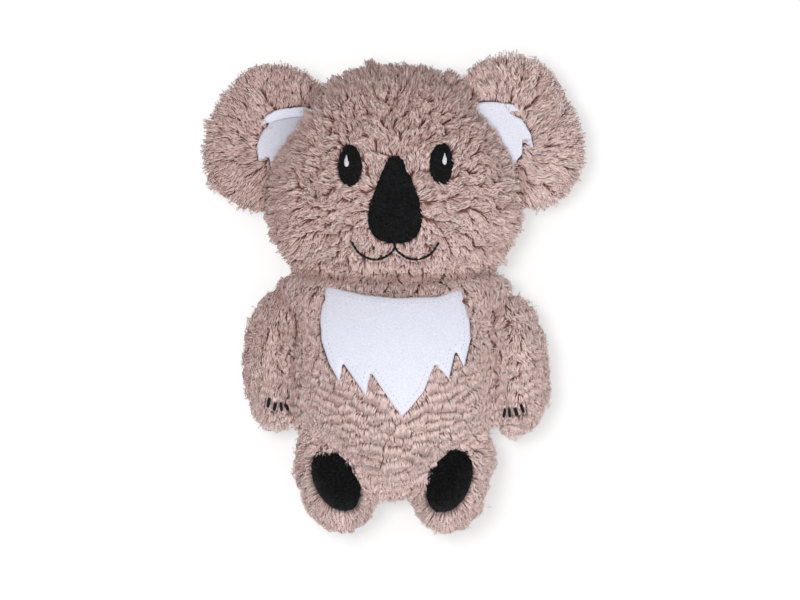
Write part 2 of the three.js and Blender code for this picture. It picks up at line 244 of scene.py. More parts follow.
class FeltSettings(bpy.types.PropertyGroup):
    """Sizes and colours of the felt pieces and the threads."""

    grain: length_of("Grain", "Size of the faces of a felt piece", 0.6 * MM)
    rim: length_of("Rim", "How wide the edge of a felt piece is pulled down by its seam", 4 * MM)
    step: length_of(
        "Step", "From the upper layer of the right ear's lining down to the lower one", 2.2 * MM
    )
    step_width: length_of("Step width", "How wide the fold between the two layers is", 0.7 * MM)
    fold_start: FloatVectorProperty(
        name="Fold start", description="Where the fold in the right ear's lining starts", size=2,
        default=(-91 * MM, 111.5 * MM), subtype="XYZ",
    )
    fold_end: FloatVectorProperty(
        name="Fold end", description="Where the fold in the right ear's lining ends", size=2,
        default=(-64 * MM, 119 * MM), subtype="XYZ",
    )
    tuck: length_of("Tuck", "How far an ear's lining runs on under the pile of the head", 9 * MM)
    pad_size: FloatVectorProperty(
        name="Pad size", description="Width and length of a foot pad, seen from above", size=2,
        default=(28.6 * MM, 45 * MM), subtype="XYZ",
    )
    pad_left: FloatVectorProperty(
        name="Left pad", size=3, default=(37.4 * MM, -128.3 * MM, 24),
        description="Middle of the left foot pad, and how far its top leans out in degrees",
    )
    pad_right: FloatVectorProperty(
        name="Right pad", size=3, default=(-39.9 * MM, -128.1 * MM, 31),
        description="Middle of the right foot pad, and how far its top leans out in degrees",
    )
    nap: length_of("Nap", "Length of the raised fibres of the foot pads", 2.6 * MM)
    stitch_pitch: length_of("Stitch pitch", "From one stitch of a seam to the next", 2.7 * MM)
    stitch_inset: length_of("Stitch inset", "From the edge of the bib to its seam", 4 * MM)
    thread: length_of("Thread", "Thickness of the embroidery thread", 0.7 * MM)
    white: colour_of("White felt", "Of the bib and the ears", (0.78, 0.79, 0.90))
    black: colour_of("Black felt", "Of the nose, the eyes and the foot pads", (0.006, 0.006, 0.0072))


class StageSettings(bpy.types.PropertyGroup):
    """The camera's view and the light."""

    view_width: length_of("View width", "That the camera sees at the height of the side seams", 544 * MM)
    view_centre: FloatVectorProperty(
        name="View centre", description="What the camera looks at", size=2,
        default=(3.9 * MM, -5.4 * MM), subtype="TRANSLATION",
    )
    lens: FloatProperty(name="Lens", description="Focal length in millimetres", default=400)
    foot_power: FloatProperty(
        name="Foot power", description="Of the wide lamp beyond the toy's feet",
        default=12.4, unit="POWER",
    )
    side_power: FloatProperty(
        name="Side power", description="Of the small lamp beyond the toy's right ear",
        default=11, unit="POWER",
    )
    sky_strength: FloatProperty(
        name="Sky strength", description="Of the even light from all round", default=0.42
    )
    floor: length_of("Floor", "Width of the floor", 6000 * MM)


class ToySettings(bpy.types.PropertyGroup):
    """All the settings of the toy and its stage."""

    pile: PointerProperty(type=PileSettings)
    felt: PointerProperty(type=FeltSettings)
    stage: PointerProperty(type=StageSettings)
    seed: IntProperty(name="Seed", description="Of the pile's random lie", default=RANDOM_SEED)


def settings():
    return bpy.context.scene.plush_koala


# Modelling


def pick_only(piece):
    bpy.ops.object.select_all(action="DESELECT")
    piece.select_set(True)
    bpy.context.view_layer.objects.active = piece


def apply_modifier(piece, kind, **values):
    pick_only(piece)
    bpy.ops.object.modifier_add(type=kind)
    modifier = piece.modifiers[-1]
    for name, value in values.items():
        setattr(modifier, name, value)
    bpy.ops.object.modifier_apply(modifier=modifier.name)


def remesh(piece, grain):
    """Makes a piece one closed skin of even faces."""
    apply_modifier(piece, "REMESH", mode="VOXEL", voxel_size=grain)


def smooth(piece, rounds):
    apply_modifier(piece, "SMOOTH", factor=0.5, iterations=rounds)


def inflate(piece, distance):
    apply_modifier(piece, "DISPLACE", strength=distance, mid_level=0)


@contextmanager
def edit_mode(piece):
    """Edit mode with the whole mesh of a piece selected."""
    pick_only(piece)
    bpy.ops.object.mode_set(mode="EDIT")
    bpy.ops.mesh.select_all(action="SELECT")
    yield
    bpy.ops.object.mode_set(mode="OBJECT")


def new_piece(name, mesh):
    piece = bpy.data.objects.new(name, mesh)
    bpy.context.scene.collection.objects.link(piece)
    return piece


def copy_of_node(node, name):
    """A new piece with the form of a node, its faces joined at their corners."""
    piece = new_piece(name, frame["nodes"][node].data.copy())
    piece.data.name = name
    piece.data.materials.clear()
    with edit_mode(piece):
        bpy.ops.mesh.remove_doubles(threshold=MERGE_DISTANCE)
        bpy.ops.mesh.customdata_custom_splitnormals_clear()
    return piece


def finish_piece(piece, body, slot, material, *nodes):
    """Gives a finished piece its body and its material, and hides the nodes that it stands for. The slot is
    not used.
    """
    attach(piece, body)
    finish_slot(piece, slot, material, *nodes)


def finish_slot(piece, slot, material, *nodes):
    """Gives a piece its material and hides the nodes that it stands for. The slot is not used."""
    piece.data.materials.clear()
    piece.data.materials.append(material)
    if nodes:
        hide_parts(*nodes)


def coordinates(mesh):
    points = np.empty(len(mesh.vertices) * 3, np.float32)
    mesh.vertices.foreach_get("co", points)
    return points.reshape(-1, 3).astype(float)


def move_to(piece, points):
    piece.data.vertices.foreach_set("co", points.astype(np.float32).ravel())
    piece.data.update()


def normals_of(mesh):
    normals = np.empty(len(mesh.vertices) * 3, np.float32)
    mesh.vertex_normals.foreach_get("vector", normals)
    return normals.reshape(-1, 3).astype(float)


def set_values(mesh, name, values):
    """Keeps one value for each corner of a mesh, for its material to read."""
    corners = mesh.attributes.new(name, "FLOAT", "POINT").data
    corners.foreach_set("value", values.astype(np.float32).ravel())


def triangles_of(mesh):
    mesh.calc_loop_triangles()
    corners = np.empty(len(mesh.loop_triangles) * 3, np.int32)
    mesh.loop_triangles.foreach_get("vertices", corners)
    return corners.reshape(-1, 3)


def unit(vectors):
    least = 1e-12
    return vectors / np.maximum(np.linalg.norm(vectors, axis=1, keepdims=True), least)


def dot(a, b):
    return np.sum(a * b, axis=1)


def nearest(points, targets):
    """The index of the nearest target to each point."""
    tree = KDTree(len(targets))
    for index, target in enumerate(targets):
        tree.insert(target, index)
    tree.balance()
    return np.array([tree.find(point)[1] for point in points])


def tree_of(piece):
    return BVHTree.FromObject(piece, bpy.context.evaluated_depsgraph_get())


def height_over(tree, point):
    """How high a piece reaches over a place, or at the point of it that is nearest to the place."""
    hit = tree.ray_cast(Vector((point[0], point[1], 1)), Vector((0, 0, -1)))[0]
    return (hit or tree.find_nearest(Vector((point[0], point[1], SEAM_HEIGHT)))[0]).z


def joint_of(section):
    """Where a section folds, and the way from the larger section into it."""
    joint = next(j for j in frame["joints"] if j["name"] == SEWN_TO[section][1])
    return Vector(joint["pos_m"]), Vector((0, 0, 1)).cross(Vector(joint["axis"])).normalized()


def kind_of(section):
    return section.split("_")[0]


def drawn_in(points, section, reach, width):
    """Points with those nearest to a section's seam, over a width, drawn in towards the larger section."""
    place, outward = (np.array(v) for v in joint_of(section))
    along = (points - place) @ outward
    return points - np.outer(reach * np.clip((along.min() + width - along) / width, 0, 1), outward)


# Fabric and filling


def make_skin(section, pile):
    """The outer face of a section's fabric, closed all round: its filling, softened and blown up a little."""
    skin = copy_of_node(f"{section}_stuffing", f"{section}_skin")
    remesh(skin, MIDDLE_GRAIN if section in BIG_SECTIONS else FINE_GRAIN)
    smooth(skin, 6)
    inflate(skin, pile.skin_gap)
    smooth(skin, 4)
    if section in SEWN_TO:
        move_to(skin, drawn_in(coordinates(skin.data), section, SKIN_TUCK, SKIN_TUCK_WIDTH))
    return skin


def make_form(skins, pile):
    """The whole toy as its sections press on each other, its creases filled: what the pile lies over."""
    parts = [new_piece(f"{skin.name}_part", skin.data.copy()) for skin in skins]
    bpy.ops.object.select_all(action="DESELECT")
    for part in parts:
        part.select_set(True)
    bpy.context.view_layer.objects.active = parts[0]
    bpy.ops.object.join()
    form = bpy.context.object
    form.name = "form"
    remesh(form, MIDDLE_GRAIN)
    inflate(form, pile.crease)
    remesh(form, COARSE_GRAIN)
    smooth(form, 8)
    inflate(form, -pile.crease)
    smooth(form, 4)
    return form


def swell(skin, form, most):
    """Pushes a skin out where a crease leaves room, so that neighbouring sections touch."""
    tree = tree_of(form)
    points = coordinates(skin.data)
    room = np.array([tree.find_nearest(point)[3] for point in points])
    kept_room = 1.5 * MM
    move_to(skin, points + normals_of(skin.data) * np.clip(room - kept_room, 0, most)[:, None])
    smooth(skin, 3)


class KOALA_OT_skins(bpy.types.Operator):
    """Make the shapes that the fabric is cut from and that the pile lies over, for the steps that follow"""

    bl_idname = "koala.skins"
    bl_label = "Shapes"

    def execute(self, context):
        pile = settings().pile
        skins = [make_skin(section, pile) for section in SECTIONS]
        form = make_form(skins, pile)
        for skin in skins:
            swell(skin, form, pile.swell)
        return {"FINISHED"}


class KOALA_OT_fabric(bpy.types.Operator):
    """Cut the fabric panels of all sections"""

    bl_idname = "koala.fabric"
    bl_label = "Fabric panels"

    def execute(self, context):
        backing = backing_material()
        for section in SECTIONS:
            for face in FACES:
                panel = self.cut_panel(section, face, settings().pile)
                finish_slot(panel, "fur_fabric", backing, f"{section}_{face}_panel")
                join_at_seam(panel, section)
        return {"FINISHED"}

    def cut_panel(self, section, face, pile):
        """The skin on one side of the seam, with a wall of the fabric's thickness."""
        panel = new_piece(f"{section}_{face}_fabric", bpy.data.objects[f"{section}_skin"].data.copy())
        up = 1 if face == "front" else -1
        with edit_mode(panel):
            bpy.ops.mesh.bisect(plane_co=(0, 0, SEAM_HEIGHT), plane_no=(0, 0, up), clear_inner=True)
        apply_modifier(panel, "SOLIDIFY", thickness=pile.fabric, offset=-1)
        pick_only(panel)
        bpy.ops.object.shade_smooth_by_angle(angle=math.radians(40))
        return panel


def join_at_seam(piece, section):
    """Attaches a torso piece to the torso's body; a piece of another section keeps its place unattached, and
    the start and end of the bend at its seam are found but not used.
    """
    if section not in SEWN_TO:
        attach(piece, section)
        return
    place, outward = joint_of(section)
    start, end = place + BEND_START * outward, place + BEND_END * outward
    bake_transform(piece)
    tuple(start)
    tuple(end)


class KOALA_OT_filling(bpy.types.Operator):
    """Stuff the sections with loose fibre"""

    bl_idname = "koala.filling"
    bl_label = "Filling"

    def execute(self, context):
        fibre = fibre_material()
        for section in SECTIONS:
            node = f"{section}_stuffing"
            filling = copy_of_node(node, f"{section}_filling")
            remesh(filling, COARSE_GRAIN)
            smooth(filling, 8)
            inflate(filling, -FILLING_GAP)
            finish_piece(filling, section, "fibre_fill", fibre, node)
        return {"FINISHED"}


# Felt


def outline_of(node):
    """The outline of a node's upper face, as corners in order, anticlockwise from above."""
    mesh = bmesh.new()
    mesh.from_mesh(frame["nodes"][node].data)
    bmesh.ops.remove_doubles(mesh, verts=mesh.verts, dist=MERGE_DISTANCE)
    following, upward, upright = {}, 0.15, 0.05
    for face in mesh.faces:
        if face.normal.z < upward:
            continue
        for loop in face.loops:
            other = loop.link_loop_radial_next.face
            if abs(other.normal.z) < upright:
                following[loop.vert.index] = loop.link_loop_next.vert.index
    mesh.verts.ensure_lookup_table()
    loops = []
    while following:
        start, walk = next(iter(following)), []
        at = start
        while at in following:
            walk.append(mesh.verts[at].co.copy())
            at = following.pop(at)
        loops.append(walk)
    mesh.free()
    return max(loops, key=len)


def resampled(corners, spacing):
    """Evenly spaced points on a closed outline."""
    points = np.array([*corners, corners[0]])
    lengths = np.concatenate([[0], np.cumsum(np.linalg.norm(np.diff(points, axis=0), axis=1))])
    places = np.linspace(0, lengths[-1], max(round(lengths[-1] / spacing), 8), endpoint=False)
    return np.stack([np.interp(places, lengths, points[:, k]) for k in range(3)], axis=1)


def distance_to(points, outline):
    """From each point to the nearest point of an outline, seen from above."""
    return np.array([np.sqrt(((outline[:, :2] - p[:2]) ** 2).sum(1).min()) for p in points])


def make_oval(name, size, centre, tilt, thickness):
    """A flat oval blank, its long axis turned from +Y."""
    bpy.ops.object.select_all(action="DESELECT")
    bpy.ops.mesh.primitive_cylinder_add(vertices=96, radius=0.5, depth=thickness)
    oval = bpy.context.object
    oval.name = oval.data.name = name
    with edit_mode(oval):
        bpy.ops.transform.resize(value=(*size, 1), center_override=(0, 0, 0))
        bpy.ops.transform.rotate(value=tilt, orient_axis="Z", center_override=(0, 0, 0))
        bpy.ops.transform.translate(value=(*centre, 0))
    return oval


def taut_over(points, heights):
    """Heights of a cloth pulled taut over others: one even bulge that leaves out each small dip."""
    half_width = 50 * MM
    x, y = (points[:, :2] - points[:, :2].mean(axis=0)).T / half_width
    terms = np.stack([np.ones(len(x)), x, y, x * x, x * y, y * y], axis=1)
    return terms @ np.linalg.lstsq(terms, heights, rcond=None)[0]


def lay_on_form(blank, outline, felt, layer, fold=None, taut=False):
    """Makes a blank a soft sheet on the form, its rim pulled down, and a step lower below a fold, with
    painted shade on the lower layer.
    """
    lift, drop = LAYERS[layer]
    remesh(blank, felt.grain)
    smooth(blank, 3)
    form, own = tree_of(bpy.data.objects["form"]), tree_of(blank)
    points = coordinates(blank.data)
    heights = np.array([height_over(form, point) for point in points])
    if taut:
        for section in ("torso", "arm_left", "arm_right"):
            skin = tree_of(bpy.data.objects[f"{section}_skin"])
            heights = np.maximum(heights, [height_over(skin, point) for point in points])
        heights = taut_over(points, heights)
    for point, height in zip(points, heights):
        under = own.ray_cast(Vector((point[0], point[1], -1)), Vector((0, 0, 1)))[0]
        point[2] += height + lift - (under.z if under else point[2])
    inside = distance_to(points, outline)
    points[:, 2] -= drop * (1 - np.clip(inside / felt.rim, 0, 1)) ** 2
    hidden = np.zeros(len(points))
    if fold:
        start, end = (np.array(place) for place in fold)
        length = np.linalg.norm(end - start)
        across = np.array([end[1] - start[1], start[0] - end[0]]) / length
        share = (points[:, :2] - start) @ (end - start) / length**2
        # Painted shade on the lower layer: darkest at the fold and fading over a width below it
        bow, shade_width, lost_share = 8 * MM, 16 * MM, 0.75
        below = (points[:, :2] - start) @ across + bow * np.clip(share * (1 - share), 0, 1)
        points[:, 2] -= felt.step * np.clip(below / felt.step_width, 0, 1)
        hidden = np.where(below > 0, 1 - lost_share * np.clip(below / shade_width, 0, 1), 0)
    move_to(blank, points)
    set_values(blank.data, "hidden", hidden)
    smooth(blank, 4)
    pick_only(blank)
    bpy.ops.object.shade_smooth()
    return blank


def lay_node(node, name, felt, layer, taut=False):
    """A felt piece with the outline of a node, laid on the form."""
    outline = resampled(outline_of(node), felt.grain)
    return lay_on_form(copy_of_node(node, name), outline, felt, layer, taut=taut), outline


def stitch_places(outline, piece, inset, pitch):
    """Where a line of stitches lies on a felt piece: each stitch's middle and the way it runs."""
    reach, least_share = 3, 0.97
    ahead = np.roll(outline, -reach, axis=0) - np.roll(outline, reach, axis=0)
    ahead[:, 2] = 0
    ahead = unit(ahead)
    inward = np.stack([-ahead[:, 1], ahead[:, 0], np.zeros(len(ahead))], axis=1)
    line = outline + inward * inset
    stays = distance_to(line, outline) > least_share * inset
    tree = tree_of(piece)
    places, last = [], None
    for point, way, on_line in zip(line, ahead, stays):
        if not on_line or (last is not None and np.linalg.norm(point[:2] - last) < pitch):
            continue
        last = point[:2]
        places.append((Vector((*point[:2], height_over(tree, point))), Vector(way)))
    return places


def make_stitch(length, thickness):
    """One stitch along X: a round bar that thins towards its ends, where the thread goes in."""
    bpy.ops.object.select_all(action="DESELECT")
    bpy.ops.mesh.primitive_uv_sphere_add(segments=8, ring_count=7, radius=0.5)
    stitch = bpy.context.object
    with edit_mode(stitch):
        bpy.ops.transform.rotate(value=math.pi / 2, orient_axis="Y", center_override=(0, 0, 0))
        bpy.ops.transform.resize(value=(length, thickness, thickness), center_override=(0, 0, 0))
    bpy.ops.object.shade_smooth()
    return stitch


def sew(name, stitch, places):
    """Copies of a stitch, each with its middle at a place and turned the way it runs.

    The faces are sorted because a new sphere lists them in another order each time.
    """
    form = coordinates(stitch.data)
    faces = sorted(tuple(polygon.vertices) for polygon in stitch.data.polygons)
    points, all_faces = [], []
    for index, (middle, way) in enumerate(places):
        turned = Vector((1, 0, 0)).rotation_difference(way).to_matrix()
        points.extend(form @ np.array(turned).T + np.array(middle))
        all_faces.extend(tuple(i + index * len(form) for i in face) for face in faces)
    mesh = bpy.data.meshes.new(name)
    mesh.from_pydata(points, [], all_faces)
    mesh.polygons.foreach_set("use_smooth", [True] * len(mesh.polygons))
    bpy.data.objects.remove(stitch)
    return new_piece(name, mesh)


def make_nap(piece, felt, long, way, random):
    """The raised fibres of a felt piece, combed a little one way, so that its edge is not sharp there."""
    points, normals = coordinates(piece.data), normals_of(piece.data)
    upward, clump_size, clump_lean, own_lean, rise = 0.3, 5, 0.45, 0.12, 0.4
    shortest, spread, bulge = 0.6, 0.8, 0.12
    root_depth, thickness = 0.3 * MM, 0.5 * MM
    roots = points[normals[:, 2] > upward]
    count = len(roots)
    clump = nearest(roots, roots[random.integers(0, count, max(count // clump_size, 1))])
    lean = random.normal(0, clump_lean, (count, 3))[clump] + random.normal(0, own_lean, (count, 3))
    lengths = long * felt.nap * (shortest + spread * random.random(count)[clump, None])
    tips = roots + unit(lean + [*way, rise]) * lengths
    roots = roots - [0, 0, root_depth]
    middles = (roots + tips) / 2 + [0, 0, bulge] * lengths
    across = unit(np.cross(tips - roots, [0, 0, 1.0]))
    tone = random.random(count)
    mesh = strand_mesh(f"{piece.name}_nap", roots, middles, tips, across, tone, tone, thickness)
    return new_piece(mesh.name, mesh)


class KOALA_OT_white_felt(bpy.types.Operator):
    """Make the white felt bib with its seam, and the linings of the ears"""

    bl_idname = "koala.white_felt"
    bl_label = "White felt"

    def execute(self, context):
        felt = settings().felt
        cloth = felt_material("white_felt", felt.white, 0.25)
        cotton = thread_material("white_thread", (0.58, 0.59, 0.70))
        bib, outline = lay_node("chest_bib", "chest_bib_felt", felt, "bib", taut=True)
        finish_piece(bib, "torso", "white_felt", cloth, "chest_bib")
        places = stitch_places(outline, bib, felt.stitch_inset, felt.stitch_pitch)
        length, thickness = 1.5 * MM, 0.4 * MM
        seam = sew("chest_bib_felt_seam", make_stitch(length, thickness), places)
        finish_piece(seam, "torso", "white_thread", cotton)
        for side in SIDES:
            self.line_ear(side, felt, cloth)
        return {"FINISHED"}

    def line_ear(self, side, felt, cloth):
        """The lining of an ear, tucked in under the head's pile, that of the right ear with its fold."""
        node, section = f"ear_{side}_felt", f"ear_{side}"
        lining = copy_of_node(node, f"{section}_lining")
        points = drawn_in(coordinates(lining.data), section, felt.tuck, LINING_TUCK_WIDTH)
        move_to(lining, points)
        corners = drawn_in(np.array(outline_of(node)), section, felt.tuck, LINING_TUCK_WIDTH)
        fold = (felt.fold_start, felt.fold_end) if side == "right" else None
        lay_on_form(lining, resampled(corners, felt.grain), felt, "lining", fold)
        finish_slot(lining, "white_felt", cloth, node)
        join_at_seam(lining, section)


class KOALA_OT_black_felt(bpy.types.Operator):
    """Make the black felt nose and eyes, the highlights and the foot pads"""

    bl_idname = "koala.black_felt"
    bl_label = "Black felt"

    def execute(self, context):
        felt = settings().felt
        random = np.random.default_rng(settings().seed)
        cloth = felt_material("black_felt", felt.black, 0.02)
        silk = thread_material("silk_thread", (0.85, 0.85, 0.92))
        nose, _ = lay_node("nose_felt", "nose_patch", felt, "nose")
        self.finish_with_nap(nose, make_nap(nose, felt, *NAPS["nose"], random), cloth, "nose_felt")
        for side in SIDES:
            eye, _ = lay_node(f"eye_{side}", f"eye_{side}_patch", felt, "eye")
            self.finish_with_nap(eye, make_nap(eye, felt, *NAPS["eye"], random), cloth, f"eye_{side}")
            glint, _ = lay_node(f"eye_highlight_{side}", f"eye_{side}_glint", felt, "glint")
            finish_piece(glint, "head", "white_thread", silk, f"eye_highlight_{side}")
            pad = self.make_pad(side, felt)
            nap = make_nap(pad, felt, *NAPS[f"pad_{side}"], random)
            finish_slot(pad, "black_felt", cloth, f"foot_pad_{side}")
            finish_slot(nap, "black_felt", cloth)
            for piece in (pad, nap):
                join_at_seam(piece, f"leg_{side}")
        return {"FINISHED"}

    def make_pad(self, side, felt):
        out = 1 if side == "left" else -1
        centre_x, centre_y, tilt = felt.pad_left if side == "left" else felt.pad_right
        place, turn, thickness = (centre_x, centre_y), out * math.radians(tilt), 1.6 * MM
        oval = make_oval(f"foot_{side}_pad", felt.pad_size, place, turn, thickness)
        corners_of_one_face = coordinates(oval.data)[::2]
        return lay_on_form(oval, resampled(corners_of_one_face, felt.grain), felt, "pad")

    def finish_with_nap(self, piece, nap, cloth, node):
        finish_piece(piece, "head", "black_felt", cloth, node)
        finish_piece(nap, "head", "black_felt", cloth)


# Embroidery


class KOALA_OT_embroidery(bpy.types.Operator):
    """Sew the mouth and the claws"""

    bl_idname = "koala.embroidery"
    bl_label = "Embroidery"

    def execute(self, context):
        thread = settings().felt.thread
        cotton = thread_material("black_thread", (0.005, 0.005, 0.006))
        self.form = tree_of(bpy.data.objects["form"])
        self.sew_mouth(thread, cotton)
        for side in SIDES:
            for number in range(1, 5):
                self.sew_claw(f"claw_{side}_{number}", f"arm_{side}", thread, cotton)
        return {"FINISHED"}

    def on_form(self, x, y, lift):
        return Vector((x, y, height_over(self.form, (x, y)) + lift))

    def sew_mouth(self, thread, cotton):
        """Stitches end to end along the two arcs of the smile, and one for the stem."""
        node = "mouth_embroidery"
        low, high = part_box(node)
        outline = outline_of(node)
        pitch, step, lift = 3.0 * MM, 0.2 * MM, MOUTH_LIFT
        overlap, plies = 1.5, 2.6
        places = []
        for x in np.arange(low.x + thread, high.x - thread, step):
            place = self.middle_at(outline, x)
            if not places or math.dist(place, places[-1]) >= pitch:
                places.append(place)
        threads = []
        for start, end in zip(places, places[1:]):
            start, end = self.on_form(*start, lift), self.on_form(*end, lift)
            threads.append(((start + end) / 2, (end - start).normalized()))
        top = max(places, key=lambda place: place[1] - abs(place[0] - (low.x + high.x) / 2))
        threads.append((self.on_form(top[0], top[1] + thread, lift), Vector((0, 1, 0))))
        mouth = sew("mouth_stitches", make_stitch(overlap * pitch, plies * thread), threads)
        finish_piece(mouth, "head", "black_thread", cotton, node)

    def middle_at(self, outline, x):
        """The middle of the smile's thread at a place across the face."""
        crossings = []
        for a, b in zip(outline, outline[1:] + outline[:1]):
            if (a.x - x) * (b.x - x) < 0:
                share = (x - a.x) / (b.x - a.x)
                crossings.append(a.y + share * (b.y - a.y))
        crossings.sort()
        return x, sum(crossings[:2]) / 2 if len(crossings) > 1 else outline[0].y

    def sew_claw(self, node, body, thread, cotton):
        """A bar of three threads laid side by side."""
        points = coordinates(frame["nodes"][node].data)
        middle = points.mean(axis=0)
        spread = np.linalg.svd(points - middle, full_matrices=False)[2]
        way, beside = Vector(spread[0]), Vector(spread[1])
        length = np.ptp(points @ spread[0])
        centre = self.on_form(middle[0], middle[1], CLAW_LIFT)
        apart, overrun, plies = 1.1, 1.1, 1.6
        threads = [(centre + beside * thread * k * apart, way) for k in (-1, 0, 1)]
        claw = sew(f"{node}_stitches", make_stitch(overrun * length, plies * thread), threads)
        finish_piece(claw, body, "black_thread", cotton, node)


# Pile

# How deep inside the edge of a piece of felt depths are told apart, and how deep strands still grow
MOST_DEPTH = 8 * MM
ROOTED_DEPTH = 2.4 * MM

# How far beside its threads embroidery presses the pile down
THREAD_SPREAD = 0.8 * MM

# Over how much of the form the pile of one section turns into that of the next, and how sharp the crease
# between them is, as a power
SECTION_BLEND = 4 * MM
CREASE_SHARPNESS = 5

# How much lower than the pile a skin lies where its neighbour covers it
COVERED_DEPTH = 2.2 * MM

# The corners of a strand, three round its root, three round its bend and one at its tip, and how far along
# it the bend counts for its colours
STRAND_CORNERS, TIP_CORNER = 7, 6
BEND_ALONG = 0.7

# How strands thicken as they grow further apart, as a power of their spacing
THICKENING = 0.7

# How far a strand's root reaches into the fabric, and how far tips scatter
ROOT_DEPTH = 0.5 * MM
TIP_SCATTER = 0.12 * MM

# How high above the surface that the toy lies on a strand stays where it bends down, how high its tip stays,
# and how little it may stand up there
BEND_CLEARANCE = 0.5 * MM
TIP_CLEARANCE = 0.3 * MM
LEAST_HEIGHT = 0.4 * MM

# Between which flatness of the ground, 1 where it is level, a side turns into a face and even rows begin,
# and how much less tufted the sides are
FACE_FLATNESS = (0.3, 0.8)
EVEN_FLATNESS = (0.32, 0.72)
SIDE_TUFT_CUT = 0.6

# How many degrees a lock, a strand and a stray strand turn off, how much of that even rows take away, the
# chance that a strand is stray, and how much stronger the sway is than its noise
LOCK_TURN, OWN_TURN, STRAY_TURN = 5, 3, 110
EVEN_TURN_CUT, EVEN_STRAY_CUT = 0.5, 0.7
STEEP_STRAY_CHANCE, LEVEL_STRAY_CHANCE = 0.12, 0.04
SWAY_GAIN = 2

# How far the tufts of a row are out of line and how far the row waves, as shares of a tuft, how wide its
# waves are, as a share of the sway's, and how many streaks a tuft may show
ROW_SCATTER, ROW_WAVE, ROW_WAVE_WIDTH = 0.2, 0.7, 3
STREAKS = 16

# How much the length of a strand varies with its tuft, with its lock and by itself
TUFT_LENGTH, LOCK_LENGTH, OWN_LENGTH = 0.08, 0.06, 0.05

# How far strands reach, as shares of their length: freely, and past the end of an even row, which ends at a
# share of its tuft, and how much less far they reach on steep ground and where they hang
FREE_REACH_SHARE, FREE_REACH_SPREAD_SHARE = 0.6, 0.25
ROW_REACH_SHARE, ROW_REACH_SPREAD_SHARE = 0.24, 0.08
ROW_END = 0.88
STEEP_REACH_CUT, HANGING_REACH_CUT = 0.2, 0.5

# How many strands stick out of steep ground, and how much further they reach
LONG_CHANCE, LONG_REACH_GAIN = 0.12, 0.4

# How high strands bend, as shares of their length: freely, and in even rows, which fall towards their ends
HEIGHT_SHARE, ROW_HEIGHT_SHARE, ROW_FALL_SHARE = 0.37, 0.07, 0.28

# How that changes in the middle and at the edge of a tuft, with its tuft, its lock and its streak, with even
# rows, on steep ground, where strands hang, and in a crease
MIDDLE_HEIGHT, EDGE_HEIGHT_CUT = 1.04, 0.14
TUFT_HEIGHT, LOCK_HEIGHT, STREAK_HEIGHT = 0.16, 0.1, 0.1
EVEN_HEIGHT_CUT, CREASE_HEIGHT_CUT = 0.7, 0.65
STEEP_HEIGHT_GAIN, HANGING_HEIGHT_GAIN = 0.8, 0.3

# Where along its reach a strand bends, how high its tip is as a share of its bend, how far the tips of a lock
# draw together, and how even rows change these
BEND_SHARE, EVEN_BEND_CUT = 0.5, 0.26
TIP_SHARE, EVEN_TIP_GAIN = 0.82, 0.06
DRAW_SHARE, EVEN_DRAW_CUT = 0.35, 0.28

# How much of what makes the pile ragged over felt a whole tuft has in common
TUFT_RAGGED_SHARE = 0.65

# How light a strand is, and by how much its tuft, its lock, its streak and its own chance change that, and
# how much painted shade darkens it in a crease, at the edge of its tuft and more at a rough edge
MIDDLE_TONE = 0.7
TUFT_TONE, LOCK_TONE, STREAK_TONE, OWN_TONE = 0.1, 0.06, 0.2, 0.06
PAINTED_CREASE_SHADE, PAINTED_TUFT_EDGE_SHADE, PAINTED_ROUGH_EDGE_SHADE = 0.8, 0.1, 0.16

# The short pile at the seams: how far its strands turn off, how long and thick they are as shares of the long
# pile's, where they bend, how high their tips are as shares of their length, how light they are, and how pale
# their roots are against the painted root shade
SHORT_TURN = 0.3
SHORT_SHARE, SHORT_SPREAD_SHARE = 0.35, 0.2
SHORT_THICKNESS = 1.4
SHORT_BEND, SHORT_TIP_HEIGHT = (0.4, 0.3), 0.2
SHORT_TONES, SHORT_PALE_SHARE = (0.4, 0.8), 0.6


class Cover:
    """Where a piece of felt or thread lies, seen from above, and how far inside its edge, on a fine grid."""

    def __init__(self, piece, spread=0):
        self.cell, margin = 0.5 * MM, 12 * MM
        self.low = np.array(frame_low[:2]) - margin
        size = np.array(frame_high[:2]) + margin - self.low
        self.shape = np.ceil(size / self.cell).astype(int)
        covered = np.zeros(self.shape, bool)
        points, corners = coordinates(piece.data), triangles_of(piece.data)
        for share in ((0, 0), (1, 0), (0, 1), (0.5, 0.5), (0.5, 0), (0, 0.5), (0.33, 0.33)):
            a, b, c = (points[corners[:, k]] for k in range(3))
            covered[self.places(a + share[0] * (b - a) + share[1] * (c - a))] = True
        for _ in range(round(spread / self.cell)):
            covered = ~self.shrunk(~covered)
        self.depths = np.zeros(covered.shape)
        while covered.any() and self.depths.max() < MOST_DEPTH:
            self.depths += covered * self.cell
            covered = self.shrunk(covered)

    def places(self, points):
        places = ((points[:, :2] - self.low) / self.cell).astype(int)
        return tuple(np.clip(places, 0, np.array(self.shape) - 1).T)

    def shrunk(self, grid):
        """A grid with the cells at its edge taken off."""
        across = np.roll(grid, 1, 0) & np.roll(grid, -1, 0)
        return grid & across & np.roll(grid, 1, 1) & np.roll(grid, -1, 1)

    def depth(self, points):
        return self.depths[self.places(points)]


def laid_pieces():
    """The pieces that the pile is kept off, how far it may hang over each, and how much wider each counts."""
    ends = ("_patch", "_pad", "_lining", "_bib_felt")
    for piece in bpy.data.objects:
        start = piece.name.split("_")[0]
        if piece.name.endswith("_stitches"):
            yield piece, 0, THREAD_SPREAD
        elif piece.name.endswith(ends):
            yield piece, next(far for name, far in OVERHANGS.items() if name.startswith(start)), 0


